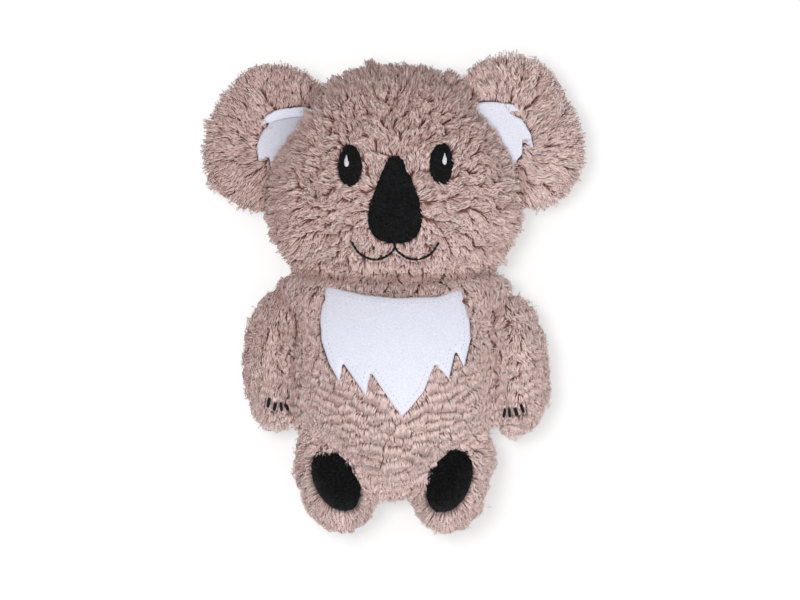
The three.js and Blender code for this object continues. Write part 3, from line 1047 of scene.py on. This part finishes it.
def comb_centre(section):
    """What the pile of a section is combed away from."""
    if kind_of(section) in ("ear", "arm"):
        return joint_of(section)[0]
    nodes = {"torso": "torso_front_panel", "head": "nose_felt"}
    low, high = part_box(nodes.get(section, section.replace("leg", "foot_pad")))
    return (low + high) / 2


def comb_way(section, points):
    """Which way the pile of a section is combed: down, and away from its centre."""
    comb = COMBS[kind_of(section)]
    way = points - np.array(comb_centre(section))
    way[:, 2] = 0
    way = unit(way) * comb["away"]
    way[:, 1] -= comb["down"]
    return unit(way)


def ramp(value, start, end):
    """A share that goes from 0 to 1 as a value goes from start to end."""
    return np.clip((value - start) / (end - start), 0, 1)


def comb_row(kind):
    return np.array([COMBS[kind][name] for name in COMB_NAMES])


class Field:
    """What the pile does at each point of the form: the section that it grows on, and how it is combed."""

    def __init__(self, form, skins):
        self.points, self.normals = coordinates(form.data), normals_of(form.data)
        self.corners = triangles_of(form.data)
        self.trees = [tree_of(skin) for skin in skins]
        far = np.array([[tree.find_nearest(p)[3] for tree in self.trees] for p in self.points])
        self.section = far.argmin(axis=1)
        near = np.exp(-(far - far.min(axis=1, keepdims=True)) / SECTION_BLEND)
        self.near = near / near.sum(axis=1, keepdims=True)
        ways = np.stack([comb_way(section, self.points) for section in SECTIONS], axis=1)
        self.ways = np.einsum("ns,nsk->nk", self.near, ways)
        self.combs = self.near @ np.array([comb_row(kind_of(section)) for section in SECTIONS])
        on_body, on_legs = self.share_on("torso", "arm"), self.share_on("leg")
        share = on_body * ramp(self.points[:, 1], CHEST_START, CHEST_END)
        self.combs += share[:, None] * (comb_row("chest") - self.combs)
        second, first = np.sort(self.near, axis=1)[:, -2:].T
        creased = (4 * first * second) ** CREASE_SHARPNESS * np.clip(1 - 2 * on_legs, 0, 1)
        self.combs = np.column_stack([self.combs, creased])

    def share_on(self, *kinds):
        """How far each point belongs to sections of some kinds."""
        return self.near @ np.array([kind_of(section) in kinds for section in SECTIONS])

    def sample(self, spacing, face, random):
        """Evenly spread strands on one side of the seam."""
        middle_height = self.points[self.corners][:, :, 2].mean(axis=1)
        on_face = middle_height > SEAM_HEIGHT if face == "front" else middle_height <= SEAM_HEIGHT
        corners, shares = spread_over(self.points, self.corners, on_face, spacing, random)
        blend = {
            name: np.einsum("nk,nkd->nd", shares, values[corners])
            for name, values in (
                ("at", self.points), ("normal", self.normals), ("way", self.ways), ("comb", self.combs)
            )
        }
        blend["section"] = self.section[corners[np.arange(len(shares)), shares.argmax(axis=1)]]
        blend["normal"] = unit(blend["normal"])
        return blend


def spread_over(points, corners, wanted, spacing, random):
    """Evenly spread places on the wanted triangles: the corners round each place and its share of each."""
    a, b, c = (points[corners[:, k]] for k in range(3))
    areas = np.linalg.norm(np.cross(b - a, c - a), axis=1) / 2 * wanted
    count = int(areas.sum() / spacing**2)
    steps = (np.arange(count) + random.random(count)) / count * areas.sum()
    chosen = np.minimum(np.searchsorted(np.cumsum(areas), steps), len(areas) - 1)
    s, t = np.sqrt(random.random(count)), random.random(count)
    return corners[chosen], np.stack([1 - s, s * (1 - t), s * t], axis=1)


def noise_of(points, size):
    """Smooth noise at each point, its lumps of a size."""
    return np.array([noise.noise(Vector(point) / size) for point in points])


class Strands:
    """The strands on one side of the seam: how each lies, and how light it is."""

    def __init__(self, spots, spacing, pile, random):
        self.at, self.normal, self.way = spots["at"], spots["normal"], spots["way"]
        self.comb = dict(zip((*COMB_NAMES, "creased"), spots["comb"].T))
        self.pile, self.random, self.count = pile, random, len(self.at)
        self.flatness = np.abs(self.normal[:, 2])
        self.facing = ramp(self.flatness, *FACE_FLATNESS)
        self.tufted = 1 - SIDE_TUFT_CUT * (1 - self.facing)
        self.even = self.comb["even"] * ramp(self.flatness, *EVEN_FLATNESS)
        self.gather(spacing)
        self.aim()
        self.place_in_tufts()
        self.stretch()
        self.stand()
        self.bend()
        self.shade()
        self.fray()

    def gather(self, spacing):
        """Gathers the strands in tufts and in smaller locks, each with its own chances."""
        at, random = self.at, self.random
        self.middles = np.flatnonzero(random.random(self.count) < (spacing / self.comb["tuft"]) ** 2)
        self.tuft = nearest(at, at[self.middles])
        locks = np.flatnonzero(random.random(self.count) < (spacing / self.pile.lock) ** 2)
        self.lock = locks[nearest(at, at[locks])]
        self.per_tuft = random.normal(0, 1, (3, len(self.middles)))[:, self.tuft]
        self.per_lock = random.normal(0, 1, (3, self.count))[:, self.lock]

    def aim(self):
        """Finds which way each strand runs, and which way it is wide."""
        normal, random = self.normal, self.random
        along = unit(self.way - normal * dot(self.way, normal)[:, None])
        sway = SWAY_GAIN * noise_of(self.at[self.middles], self.pile.swirl)[self.tuft]
        loose = LOCK_TURN * self.per_lock[0] + random.normal(0, OWN_TURN, self.count)
        loose = (1 - EVEN_TURN_CUT * self.even) * loose
        chance = STEEP_STRAY_CHANCE - (STEEP_STRAY_CHANCE - LEVEL_STRAY_CHANCE) * self.flatness
        astray = random.random(self.count) < chance * (1 - EVEN_STRAY_CUT * self.even)
        stray = astray * random.uniform(-STRAY_TURN, STRAY_TURN, self.count)
        turn = self.comb["sway"] * sway + self.comb["turn"] * self.per_tuft[0] + loose + stray
        turn = np.radians(turn)[:, None]
        self.along = along * np.cos(turn) + np.cross(normal, along) * np.sin(turn)
        self.across = np.cross(normal, self.along)

    def place_in_tufts(self):
        """Finds where in its tuft each strand grows, from its start (0) to its end (1) and across it."""
        middles, size, random = self.middles, self.comb["tuft"], self.random
        tufts, places = len(middles), self.at[middles]
        start = np.sign(self.along[middles, 1]) * places[:, 1] / size[middles]
        start = start + (1 - (self.comb["rows"] * self.facing)[middles]) * random.random(tufts)
        start += random.normal(0, ROW_SCATTER, tufts)
        start += ROW_WAVE * noise_of(places, ROW_WAVE_WIDTH * self.pile.swirl)
        to_middle = places[self.tuft] - self.at
        self.step = (start[self.tuft] - dot(to_middle, self.along) / size) % 1
        self.aside = dot(to_middle, self.across)
        self.edge = np.minimum((2 * self.aside / size) ** 2, 1)
        streak = (self.aside / self.pile.streak + STREAKS / 2).astype(int)
        per_streak = random.normal(0, 1, (tufts, STREAKS))
        self.per_streak = per_streak[self.tuft, np.clip(streak, 0, STREAKS - 1)]

    def stretch(self):
        """Finds how long each strand is, and how far it reaches along the ground."""
        random, count, steep = self.random, self.count, 1 - self.flatness
        own_length = 1 + TUFT_LENGTH * self.per_tuft[1] + LOCK_LENGTH * self.per_lock[1]
        own_length += random.normal(0, OWN_LENGTH, count)
        self.length = self.comb["long"] * self.pile.length * own_length
        self.hanging = np.clip(-self.along[:, 2], 0, 1)
        free = self.length * (FREE_REACH_SHARE + FREE_REACH_SPREAD_SHARE * random.random(count))
        past_row = (ROW_REACH_SHARE + ROW_REACH_SPREAD_SHARE * random.random(count)) * self.length
        in_row = (1 - self.step) * ROW_END * self.comb["tuft"] + past_row
        reach = free + self.even * (in_row - free)
        reach = reach * (1 - STEEP_REACH_CUT * steep) * (1 - HANGING_REACH_CUT * self.hanging)
        self.reach = reach * (1 + LONG_REACH_GAIN * steep * (random.random(count) < LONG_CHANCE))

    def stand(self):
        """Finds how high each strand stands, where there is room under the toy."""
        at, normal, even, steep = self.at, self.normal, self.even, 1 - self.flatness
        height = self.length * (HEIGHT_SHARE + even * (ROW_HEIGHT_SHARE - ROW_FALL_SHARE * self.step))
        height = height * (MIDDLE_HEIGHT - EDGE_HEIGHT_CUT * self.edge)
        uneven = TUFT_HEIGHT * self.per_tuft[2] + LOCK_HEIGHT * self.per_lock[2]
        uneven = (1 - EVEN_HEIGHT_CUT * even) * uneven + STREAK_HEIGHT * self.per_streak
        height *= 1 + self.tufted * self.comb["rough"] * uneven
        height *= (1 + STEEP_HEIGHT_GAIN * steep) * (1 + HANGING_HEIGHT_GAIN * self.hanging)
        height *= 1 - CREASE_HEIGHT_CUT * self.comb["creased"]
        downward = 0.05
        room = (at[:, 2] - BEND_CLEARANCE) / np.maximum(-normal[:, 2], downward)
        room = np.where(normal[:, 2] < -downward, room, 1)
        self.height = np.minimum(height, np.maximum(room, LEAST_HEIGHT))

    def bend(self):
        """Finds where each strand bends and where its tip is."""
        at, along, normal, even = self.at, self.along, self.normal, self.even
        bend_reach = (BEND_SHARE - EVEN_BEND_CUT * even) * self.reach
        tip_height = (TIP_SHARE + EVEN_TIP_GAIN * even) * self.height
        draw = (DRAW_SHARE - EVEN_DRAW_CUT * even)[:, None]
        pull = self.across * (self.tufted * self.comb["gather"] * self.aside)[:, None]
        bends = at + along * bend_reach[:, None] + normal * self.height[:, None] + pull / 2
        tips = at + along * self.reach[:, None] + normal * tip_height[:, None] + pull
        tips += draw * (tips[self.lock] - tips) * self.random.random((self.count, 1))
        tips += self.random.normal(0, TIP_SCATTER, (self.count, 3))
        tips[:, 2] = np.maximum(tips[:, 2], TIP_CLEARANCE)
        bends[:, 2] = np.maximum(bends[:, 2], TIP_CLEARANCE)
        self.bends, self.tips = bends, tips

    def shade(self):
        """Finds how light each strand is, with painted shade in creases and at the edges of tufts and painted
        light towards the toy's left and feet, and how pale its root is.
        """
        creased, rough = self.comb["creased"], self.comb["rough"]
        tone = MIDDLE_TONE + TUFT_TONE * self.per_tuft[0] + LOCK_TONE * self.per_lock[1]
        # Painted shade: darker strands in a crease between sections and at the edges of each tuft
        tone = tone + STREAK_TONE * self.per_streak - PAINTED_CREASE_SHADE * creased
        tone -= (PAINTED_TUFT_EDGE_SHADE + PAINTED_ROUGH_EDGE_SHADE * rough) * self.edge
        # Each strand's own random tone, and painted light that grows towards the toy's left and its feet
        tone += self.random.normal(0, OWN_TONE, self.count) + self.at @ self.pile.paler_by_painted_light
        self.tone = np.clip(tone, 0, 1)
        # How pale a root is against the painted root shade: less where the pile is tufted and set dark, and
        # not at all in a crease
        self.pale = np.clip(1 - self.tufted * self.comb["dark"] - creased, 0, 1)

    def fray(self):
        """Finds how far each strand may hang over felt, as a share of the most."""
        of_tuft = self.random.random(len(self.middles))[self.tuft]
        own = self.random.random(self.count)
        self.ragged = TUFT_RAGGED_SHARE * of_tuft + (1 - TUFT_RAGGED_SHARE) * own


def trim(at, normal, bends, tips, ragged):
    """Keeps the pile off felt and thread, and says which strands stay.

    Strands are shortened where they would reach too far over felt, then stood upright, and pressed down
    where they pass under thread. Those at the rim of a piece of felt come out from under it.
    """
    stays = np.ones(len(at), bool)
    pressed_share, lowered_share, shortened_share, rounds = 0.55, 0.05, 0.25, 5
    for piece, overhang, spread in laid_pieces():
        cover = Cover(piece, spread)
        if not overhang:
            crossing = deepest_in(cover, at, bends, tips) > 0
            for ends in (bends, tips):
                rise = dot(ends - at, normal)[:, None] * normal
                ends -= pressed_share * rise * crossing[:, None]
            continue
        under = cover.depth(at)
        stays &= under <= ROOTED_DEPTH
        allowed = np.maximum(overhang * ragged, under)
        for _ in range(rounds):
            too_far = (deepest_in(cover, at, bends, tips) > allowed)[:, None]
            for ends in (bends, tips):
                rise = dot(ends - at, normal)[:, None] * normal
                shorter = lowered_share * rise + shortened_share * (ends - at - rise)
                ends -= np.where(too_far, shorter, 0)
        upright = ((deepest_in(cover, at, bends, tips) > allowed) & (under == 0))[:, None]
        for ends in (bends, tips):
            rise = dot(ends - at, normal)[:, None] * normal
            ends -= upright * (ends - at - rise)
        stays &= deepest_in(cover, at, bends, tips) <= allowed
    return stays, bends, tips


def deepest_in(cover, at, bends, tips):
    """How deep each strand reaches inside the edge of a piece."""
    places = ((at + bends) / 2, bends, (bends + tips) / 2, tips)
    return np.max([cover.depth(place) for place in places], axis=0)


def strand_mesh(name, roots, bends, tips, across, tone, pale, thickness):
    """Three-sided strands, each closed at its root, widest where it bends and pointed at its tip."""
    count = len(roots)
    points = np.empty((count, STRAND_CORNERS, 3), np.float32)
    lower, upper = unit(bends - roots), unit(tips - bends)
    root_share, bend_share = 0.34, 0.5
    for first, place, way, width in (
        (0, roots, lower, root_share * thickness),
        (3, bends, unit(lower + upper), bend_share * thickness),
    ):
        wide = unit(across - way * dot(across, way)[:, None])
        deep = np.cross(way, wide)
        for k in range(3):
            turn = 2 * math.pi * (k + 0.25) / 3
            points[:, first + k] = place + width * (wide * math.cos(turn) + deep * math.sin(turn))
    points[:, TIP_CORNER] = tips

    quads = [(k, (k + 1) % 3, 3 + (k + 1) % 3, 3 + k) for k in range(3)]
    ends = [(3 + k, 3 + (k + 1) % 3, TIP_CORNER) for k in range(3)] + [(2, 1, 0)]
    corners = np.array([i for face in quads + ends for i in face])
    sizes = np.array([len(face) for face in quads + ends])
    mesh = bpy.data.meshes.new(name)
    mesh.vertices.add(count * STRAND_CORNERS)
    mesh.vertices.foreach_set("co", points.ravel())
    mesh.loops.add(count * len(corners))
    all_corners = (corners + STRAND_CORNERS * np.arange(count)[:, None]).astype(np.int32)
    mesh.loops.foreach_set("vertex_index", all_corners.ravel())
    mesh.polygons.add(count * len(sizes))
    starts = np.concatenate([[0], np.cumsum(sizes)[:-1]])
    all_starts = (starts + len(corners) * np.arange(count)[:, None]).astype(np.int32)
    mesh.polygons.foreach_set("loop_start", all_starts.ravel())
    mesh.update(calc_edges=True)
    mesh.polygons.foreach_set("use_smooth", np.ones(len(mesh.polygons), bool))

    # How far along each corner is, for the colours: a pale root starts partway along, out of the painted root
    # shade
    shares = np.tile(np.repeat([0, BEND_ALONG, 1], [3, 3, 1]).astype(np.float32), (count, 1))
    shares[:, :3] = 0.5 * pale[:, None]
    set_values(mesh, "along", shares)
    set_values(mesh, "tone", np.repeat(tone, STRAND_CORNERS))
    map_strands(mesh, count, quads + ends)
    return mesh


def map_strands(mesh, count, faces):
    """A map for baking with a small square for each strand, its root at the bottom."""
    columns = math.ceil(math.sqrt(count))
    corner_maps = []
    for face in faces:
        wraps = {k % 3 for k in face if k < TIP_CORNER} == {0, 2}
        for k in face:
            around = 1.5 if k == TIP_CORNER else 3 if wraps and k % 3 == 0 else k % 3
            corner_maps.append((around / 3, (0, BEND_ALONG, 1)[k // 3]))
    margin = 0.15
    corner_maps = np.array(corner_maps) * (1 - 2 * margin) + margin
    index = np.arange(count)
    cells = np.stack([index % columns, index // columns], axis=1)
    values = (cells[:, None, :] + corner_maps[None]) / columns
    mesh.uv_layers.new(name="OFBake").data.foreach_set("uv", values.astype(np.float32).ravel())


class KOALA_OT_pile(bpy.types.Operator):
    """Grow the pile on the fabric, combed and parted round the felt and the thread"""

    bl_idname = "koala.pile"
    bl_label = "Pile"

    def execute(self, context):
        pile = settings().pile
        random = np.random.default_rng(settings().seed)
        fur = pile_material(pile)
        form = bpy.data.objects["form"]
        skins = [bpy.data.objects[f"{section}_skin"] for section in SECTIONS]
        field = Field(form, skins)
        for face in FACES:
            spacing = pile.front_spacing if face == "front" else pile.back_spacing
            thickness = pile.thickness * (spacing / pile.front_spacing) ** THICKENING
            for name, section, strands in self.grow(field, face, spacing, pile, random):
                piece = new_piece(name, strand_mesh(name, *strands, thickness))
                finish_slot(piece, "fur_fabric", fur)
                join_at_seam(piece, section)
        outside = tree_of(form)
        for section, skin in zip(SECTIONS, skins):
            piece = self.line_seams(section, skin, outside, pile, random)
            finish_slot(piece, "fur_fabric", fur)
            join_at_seam(piece, section)
        for helper in (form, *skins):
            bpy.data.objects.remove(helper)
        return {"FINISHED"}

    def line_seams(self, section, skin, outside, pile, random):
        """Short pile where a neighbour lies on a section, which shows when the neighbour lifts."""
        points, normals, corners = coordinates(skin.data), normals_of(skin.data), triangles_of(skin.data)
        covered = np.array([outside.find_nearest(point)[3] for point in points]) > COVERED_DEPTH
        wanted = covered[corners].all(axis=1)
        corners, shares = spread_over(points, corners, wanted, pile.seam_spacing, random)
        at = np.einsum("nk,nkd->nd", shares, points[corners])
        normal = unit(np.einsum("nk,nkd->nd", shares, normals[corners]))
        count = len(at)
        way = comb_way(section, at) + random.normal(0, SHORT_TURN, (count, 3))
        along = unit(way - normal * dot(way, normal)[:, None])
        length = pile.length * (SHORT_SHARE + SHORT_SPREAD_SHARE * random.random((count, 1)))
        bends = at + length * (SHORT_BEND[0] * along + SHORT_BEND[1] * normal)
        tips = at + length * (along + SHORT_TIP_HEIGHT * normal)
        tone = random.uniform(*SHORT_TONES, count)
        pale, thickness = SHORT_PALE_SHARE * tone, SHORT_THICKNESS * pile.thickness
        name, across = f"{section}_seam_pile", np.cross(normal, along)
        return new_piece(name, strand_mesh(name, at, bends, tips, across, tone, pale, thickness))

    def grow(self, field, face, spacing, pile, random):
        """The strands of each panel on one side, in four lots where the panel is big."""
        spots = field.sample(spacing, face, random)
        strands = Strands(spots, spacing, pile, random)
        at, bends, tips = strands.at, strands.bends, strands.tips
        stays = np.ones(len(at), bool)
        if face == "front":
            stays, bends, tips = trim(at, strands.normal, bends, tips, strands.ragged)
        roots = at.copy()
        for index in np.flatnonzero(stays):
            place, normal, _, _ = field.trees[spots["section"][index]].find_nearest(at[index])
            roots[index] = place - ROOT_DEPTH * normal
        values = (roots, bends, tips, strands.across, strands.tone, strands.pale)
        for number, section in enumerate(SECTIONS):
            own = stays & (spots["section"] == number)
            lots = {"": own}
            if section in BIG_SECTIONS:
                left, upper = at[:, 0] > 0, at[:, 1] > np.median(at[own, 1])
                lots = {
                    "_upper_left": own & left & upper,
                    "_upper_right": own & ~left & upper,
                    "_lower_left": own & left & ~upper,
                    "_lower_right": own & ~left & ~upper,
                }
            for lot, chosen in lots.items():
                name = f"{section}_{face}_pile{lot}"
                yield name, section, [each[chosen] for each in values]


# Materials


def new_material(name, roughness):
    material = bpy.data.materials.new(name)
    material.use_nodes = True
    shader = material.node_tree.nodes["Principled BSDF"]
    shader.inputs["Roughness"].default_value = roughness
    shader.inputs["Specular IOR Level"].default_value = 0.2
    return material, material.node_tree, shader


def add_node(tree, kind, **values):
    """A new node, with values for its sockets and its options."""
    node = tree.nodes.new(kind)
    for name, value in values.items():
        if name in node.inputs:
            node.inputs[name].default_value = value
        else:
            setattr(node, name, value)
    return node


def mix_colours(tree, share, first, second):
    """A colour between two, each of them a socket or a plain colour."""
    mix = add_node(tree, "ShaderNodeMix", data_type="RGBA")
    for socket, value in ((mix.inputs[0], share), (mix.inputs[6], first), (mix.inputs[7], second)):
        if isinstance(value, bpy.types.NodeSocket):
            tree.links.new(value, socket)
        elif isinstance(value, (int, float)):
            socket.default_value = value
        else:
            socket.default_value = (*value, 1)
    return mix.outputs[2]


def pattern_at(tree, kind, **values):
    """A pattern that stays with the piece, its scale in lumps or bands to the metre."""
    place = tree.nodes.new("ShaderNodeTexCoord")
    pattern = add_node(tree, kind, **values)
    tree.links.new(place.outputs["Object"], pattern.inputs["Vector"])
    return pattern.outputs["Fac"]


def noise_at(tree, scale, detail):
    return pattern_at(tree, "ShaderNodeTexNoise", Scale=scale, Detail=detail)


def waves_at(tree, scale, distortion, **values):
    return pattern_at(tree, "ShaderNodeTexWave", Scale=scale, Distortion=distortion, **values)


def spread_of(tree, value, low, high):
    """A share that runs from 0 to 1 as a value goes from low to high."""
    spread = add_node(tree, "ShaderNodeMapRange")
    spread.inputs["From Min"].default_value = low
    spread.inputs["From Max"].default_value = high
    tree.links.new(value, spread.inputs["Value"])
    return spread.outputs["Result"]


def add_bump(tree, shader, height, strength, distance):
    """Gives a material fine relief, its heights a share of a distance."""
    bump = add_node(tree, "ShaderNodeBump", Strength=strength, Distance=distance)
    tree.links.new(height, bump.inputs["Height"])
    tree.links.new(bump.outputs["Normal"], shader.inputs["Normal"])


def attribute(tree, name):
    """A value that a piece keeps for each of its corners, or 0 on a piece that keeps none."""
    return add_node(tree, "ShaderNodeAttribute", attribute_name=name).outputs["Fac"]


def pile_material(pile):
    """Plush pile: dark at its roots as painted shade deep in the pile, lighter at its tips, and a little
    different from lock to lock.
    """
    material, tree, shader = new_material("plush_pile", 0.75)
    shader.inputs["Sheen Weight"].default_value = 0.4
    shader.inputs["Sheen Roughness"].default_value = 0.5
    shader.inputs["Sheen Tint"].default_value = (1.0, 0.88, 0.84, 1)
    # The tone holds each strand's random difference, painted light towards the toy's left and feet, and
    # painted shade in creases and at the edges of tufts
    tips = mix_colours(tree, attribute(tree, "tone"), pile.dark_colour, pile.light_colour)
    patches = spread_of(tree, noise_at(tree, 38, 2), 0.3, 0.7)
    greyer = mix_colours(tree, 0.12, tips, (0.72, 0.6, 0.58))
    tips = mix_colours(tree, patches, tips, greyer)
    # Painted shade: the colour runs from the dark roots to the tips over the lower part of each strand
    share = spread_of(tree, attribute(tree, "along"), 0.0, 0.6)
    colour = mix_colours(tree, share, pile.painted_root_shade, tips)
    tree.links.new(colour, shader.inputs["Base Color"])
    return material


def backing_material():
    """The knitted backing that the pile grows on, seen only between tufts, dark red-brown as painted shade of
    those gaps.
    """
    material, tree, shader = new_material("knitted_backing", 0.95)
    ribs = waves_at(tree, 260, 2)
    # Painted shade: darker and redder than the pile, for the shade deep between the tufts
    colour = mix_colours(tree, ribs, (0.18, 0.062, 0.046), (0.25, 0.092, 0.07))
    tree.links.new(colour, shader.inputs["Base Color"])
    add_bump(tree, shader, ribs, 0.4, 0.3 * MM)
    return material


def felt_material(name, colour, sheen):
    """Pressed felt: matted short fibres with a soft, slightly mottled face, and painted shade below the fold
    of a lining.
    """
    material, tree, shader = new_material(name, 0.92)
    shader.inputs["Specular IOR Level"].default_value = 0.1
    shader.inputs["Sheen Weight"].default_value = sheen
    shader.inputs["Sheen Roughness"].default_value = 0.6
    colour = Vector(colour)
    fibres = spread_of(tree, noise_at(tree, 900, 4), 0.3, 0.72)
    clouds = spread_of(tree, noise_at(tree, 90, 3), 0.3, 0.7)
    mottled = mix_colours(tree, clouds, colour * 0.93, colour)
    light = Vector((min(part * 1.05 + 0.006, 1) for part in colour))
    raised_light = Vector((min(part + 0.03, 1) for part in colour))
    shade = mix_colours(tree, fibres, mix_colours(tree, 0.35, mottled, colour * 0.8), light)
    # Painted shade on the lining's lower layer, below its fold
    shade = mix_colours(tree, attribute(tree, "hidden"), shade, colour * 0.76)
    raised = spread_of(tree, attribute(tree, "tone"), 0.7, 1.0)
    shade = mix_colours(tree, raised, shade, raised_light)
    tree.links.new(shade, shader.inputs["Base Color"])
    add_bump(tree, shader, fibres, 0.5, 0.35 * MM)
    return material


def thread_material(name, colour):
    """Twisted embroidery thread, with its strands as fine slanting ridges."""
    material, tree, shader = new_material(name, 0.6)
    twist = waves_at(tree, 520, 1.5, bands_direction="DIAGONAL")
    colour = Vector(colour)
    tree.links.new(mix_colours(tree, twist, colour * 0.7, colour), shader.inputs["Base Color"])
    add_bump(tree, shader, twist, 0.5, 0.2 * MM)
    return material


def fibre_material():
    """Loose polyester filling."""
    material, tree, shader = new_material("polyester_fibre", 0.9)
    tangle = spread_of(tree, noise_at(tree, 350, 6), 0.3, 0.7)
    colour = mix_colours(tree, tangle, (0.62, 0.6, 0.57), (0.86, 0.85, 0.83))
    tree.links.new(colour, shader.inputs["Base Color"])
    add_bump(tree, shader, tangle, 0.8, 1 * MM)
    return material


# Stage

# Where each lamp hangs, and how wide it is, in metres
SIDE_LAMP = ((-0.45, 0.2, 1.8), 0.8)
FOOT_LAMP = ((0.5, -0.7, 1.3), 1.2)


def seen_share(tree):
    """1 for what the camera sees, straight, in gloss or through glass, and 0 for light on the toy."""
    path = tree.nodes.new("ShaderNodeLightPath")
    total = path.outputs["Is Camera Ray"]
    for name in ("Is Glossy Ray", "Is Transmission Ray"):
        add = add_node(tree, "ShaderNodeMath", operation="MAXIMUM")
        tree.links.new(total, add.inputs[0])
        tree.links.new(path.outputs[name], add.inputs[1])
        total = add.outputs[0]
    return total


def floor_material():
    """White paper that glows to the camera, so that it stays white and keeps a faint shadow."""
    material, tree, shader = new_material("white_floor", 1.0)
    shader.inputs["Specular IOR Level"].default_value = 0
    paper, seen_paper, seen_glow = 0.97, 0.757, 0.528
    seen = seen_share(tree)
    colour = mix_colours(tree, seen, [paper] * 3, [seen_paper] * 3)
    tree.links.new(colour, shader.inputs["Base Color"])
    glow = add_node(tree, "ShaderNodeMath", operation="MULTIPLY")
    glow.inputs[1].default_value = seen_glow
    tree.links.new(seen, glow.inputs[0])
    shader.inputs["Emission Color"].default_value = (1, 1, 1, 1)
    tree.links.new(glow.outputs[0], shader.inputs["Emission Strength"])
    return material


class KOALA_OT_stage(bpy.types.Operator):
    """Lay the white floor, and set the light and the camera above the toy"""

    bl_idname = "koala.stage"
    bl_label = "Stage"

    def execute(self, context):
        stage = settings().stage
        bpy.ops.object.select_all(action="DESELECT")
        bpy.ops.mesh.primitive_plane_add(size=stage.floor)
        floor = context.object
        floor.name = "floor"
        floor.data.materials.append(floor_material())
        place, size = SIDE_LAMP
        self.add_lamp("side_lamp", place, size, stage.side_power)
        place, size = FOOT_LAMP
        foot_lamp = self.add_lamp("foot_lamp", place, size, stage.foot_power)
        unlit = bpy.data.collections.new("unlit_by_foot_lamp")
        unlit.objects.link(floor)
        unlit.collection_objects[0].light_linking.link_state = "EXCLUDE"
        foot_lamp.light_linking.receiver_collection = unlit
        self.set_sky(context.scene, stage)
        self.set_camera(context.scene, stage)
        context.scene.view_settings.view_transform = "Standard"
        return {"FINISHED"}

    def add_lamp(self, name, place, size, power):
        """A round soft lamp that shines on the toy."""
        turn = Vector(place).to_track_quat("Z", "Y").to_euler()
        bpy.ops.object.light_add(type="AREA", location=place, rotation=turn)
        lamp = bpy.context.object
        lamp.name = name
        lamp.data.shape = "DISK"
        lamp.data.size = size
        lamp.data.energy = power
        return lamp

    def set_sky(self, scene, stage):
        scene.world = bpy.data.worlds.new("studio")
        scene.world.use_nodes = True
        tree = scene.world.node_tree
        sky = tree.nodes["Background"]
        sky.inputs["Color"].default_value = (1, 1, 1, 1)
        strength = add_node(tree, "ShaderNodeMapRange")
        strength.inputs["To Min"].default_value = stage.sky_strength
        strength.inputs["To Max"].default_value = 1
        tree.links.new(seen_share(tree), strength.inputs["Value"])
        tree.links.new(strength.outputs["Result"], sky.inputs["Strength"])

    def set_camera(self, scene, stage):
        """Straight above the toy, the top of its head towards the top of the picture."""
        sensor = 36
        height = SEAM_HEIGHT + stage.view_width * stage.lens / sensor
        bpy.ops.object.camera_add(location=(*stage.view_centre, height), rotation=Euler((0, 0, 0)))
        camera = bpy.context.object
        camera.data.lens = stage.lens
        camera.data.sensor_width = sensor
        camera.data.clip_end = 2 * height
        scene.camera = camera


class KOALA_PT_panel(bpy.types.Panel):
    """Lists the steps that make the toy"""

    bl_label = "Plush koala"
    bl_space_type = "VIEW_3D"
    bl_region_type = "UI"
    bl_category = "Plush koala"

    def draw(self, context):
        for group in (settings().pile, settings().felt, settings().stage):
            box = self.layout.box()
            for name in group.bl_rna.properties.keys():
                if name not in {"rna_type", "name"}:
                    box.prop(group, name)
        for step in STEPS:
            self.layout.operator(step.bl_idname)


STEPS = (
    KOALA_OT_skins,
    KOALA_OT_fabric,
    KOALA_OT_filling,
    KOALA_OT_white_felt,
    KOALA_OT_black_felt,
    KOALA_OT_embroidery,
    KOALA_OT_pile,
    KOALA_OT_stage,
)
CLASSES = (PileSettings, FeltSettings, StageSettings, ToySettings, *STEPS, KOALA_PT_panel)


def register():
    for each in CLASSES:
        bpy.utils.register_class(each)
    bpy.types.Scene.plush_koala = PointerProperty(type=ToySettings)


def unregister():
    del bpy.types.Scene.plush_koala
    for each in reversed(CLASSES):
        bpy.utils.unregister_class(each)


def main():
    register()
    bpy.ops.koala.skins()
    bpy.ops.koala.fabric()
    bpy.ops.koala.filling()
    bpy.ops.koala.white_felt()
    bpy.ops.koala.black_felt()
    bpy.ops.koala.embroidery()
    bpy.ops.koala.pile()
    bpy.ops.koala.stage()


if __name__ == "__main__":
    main()
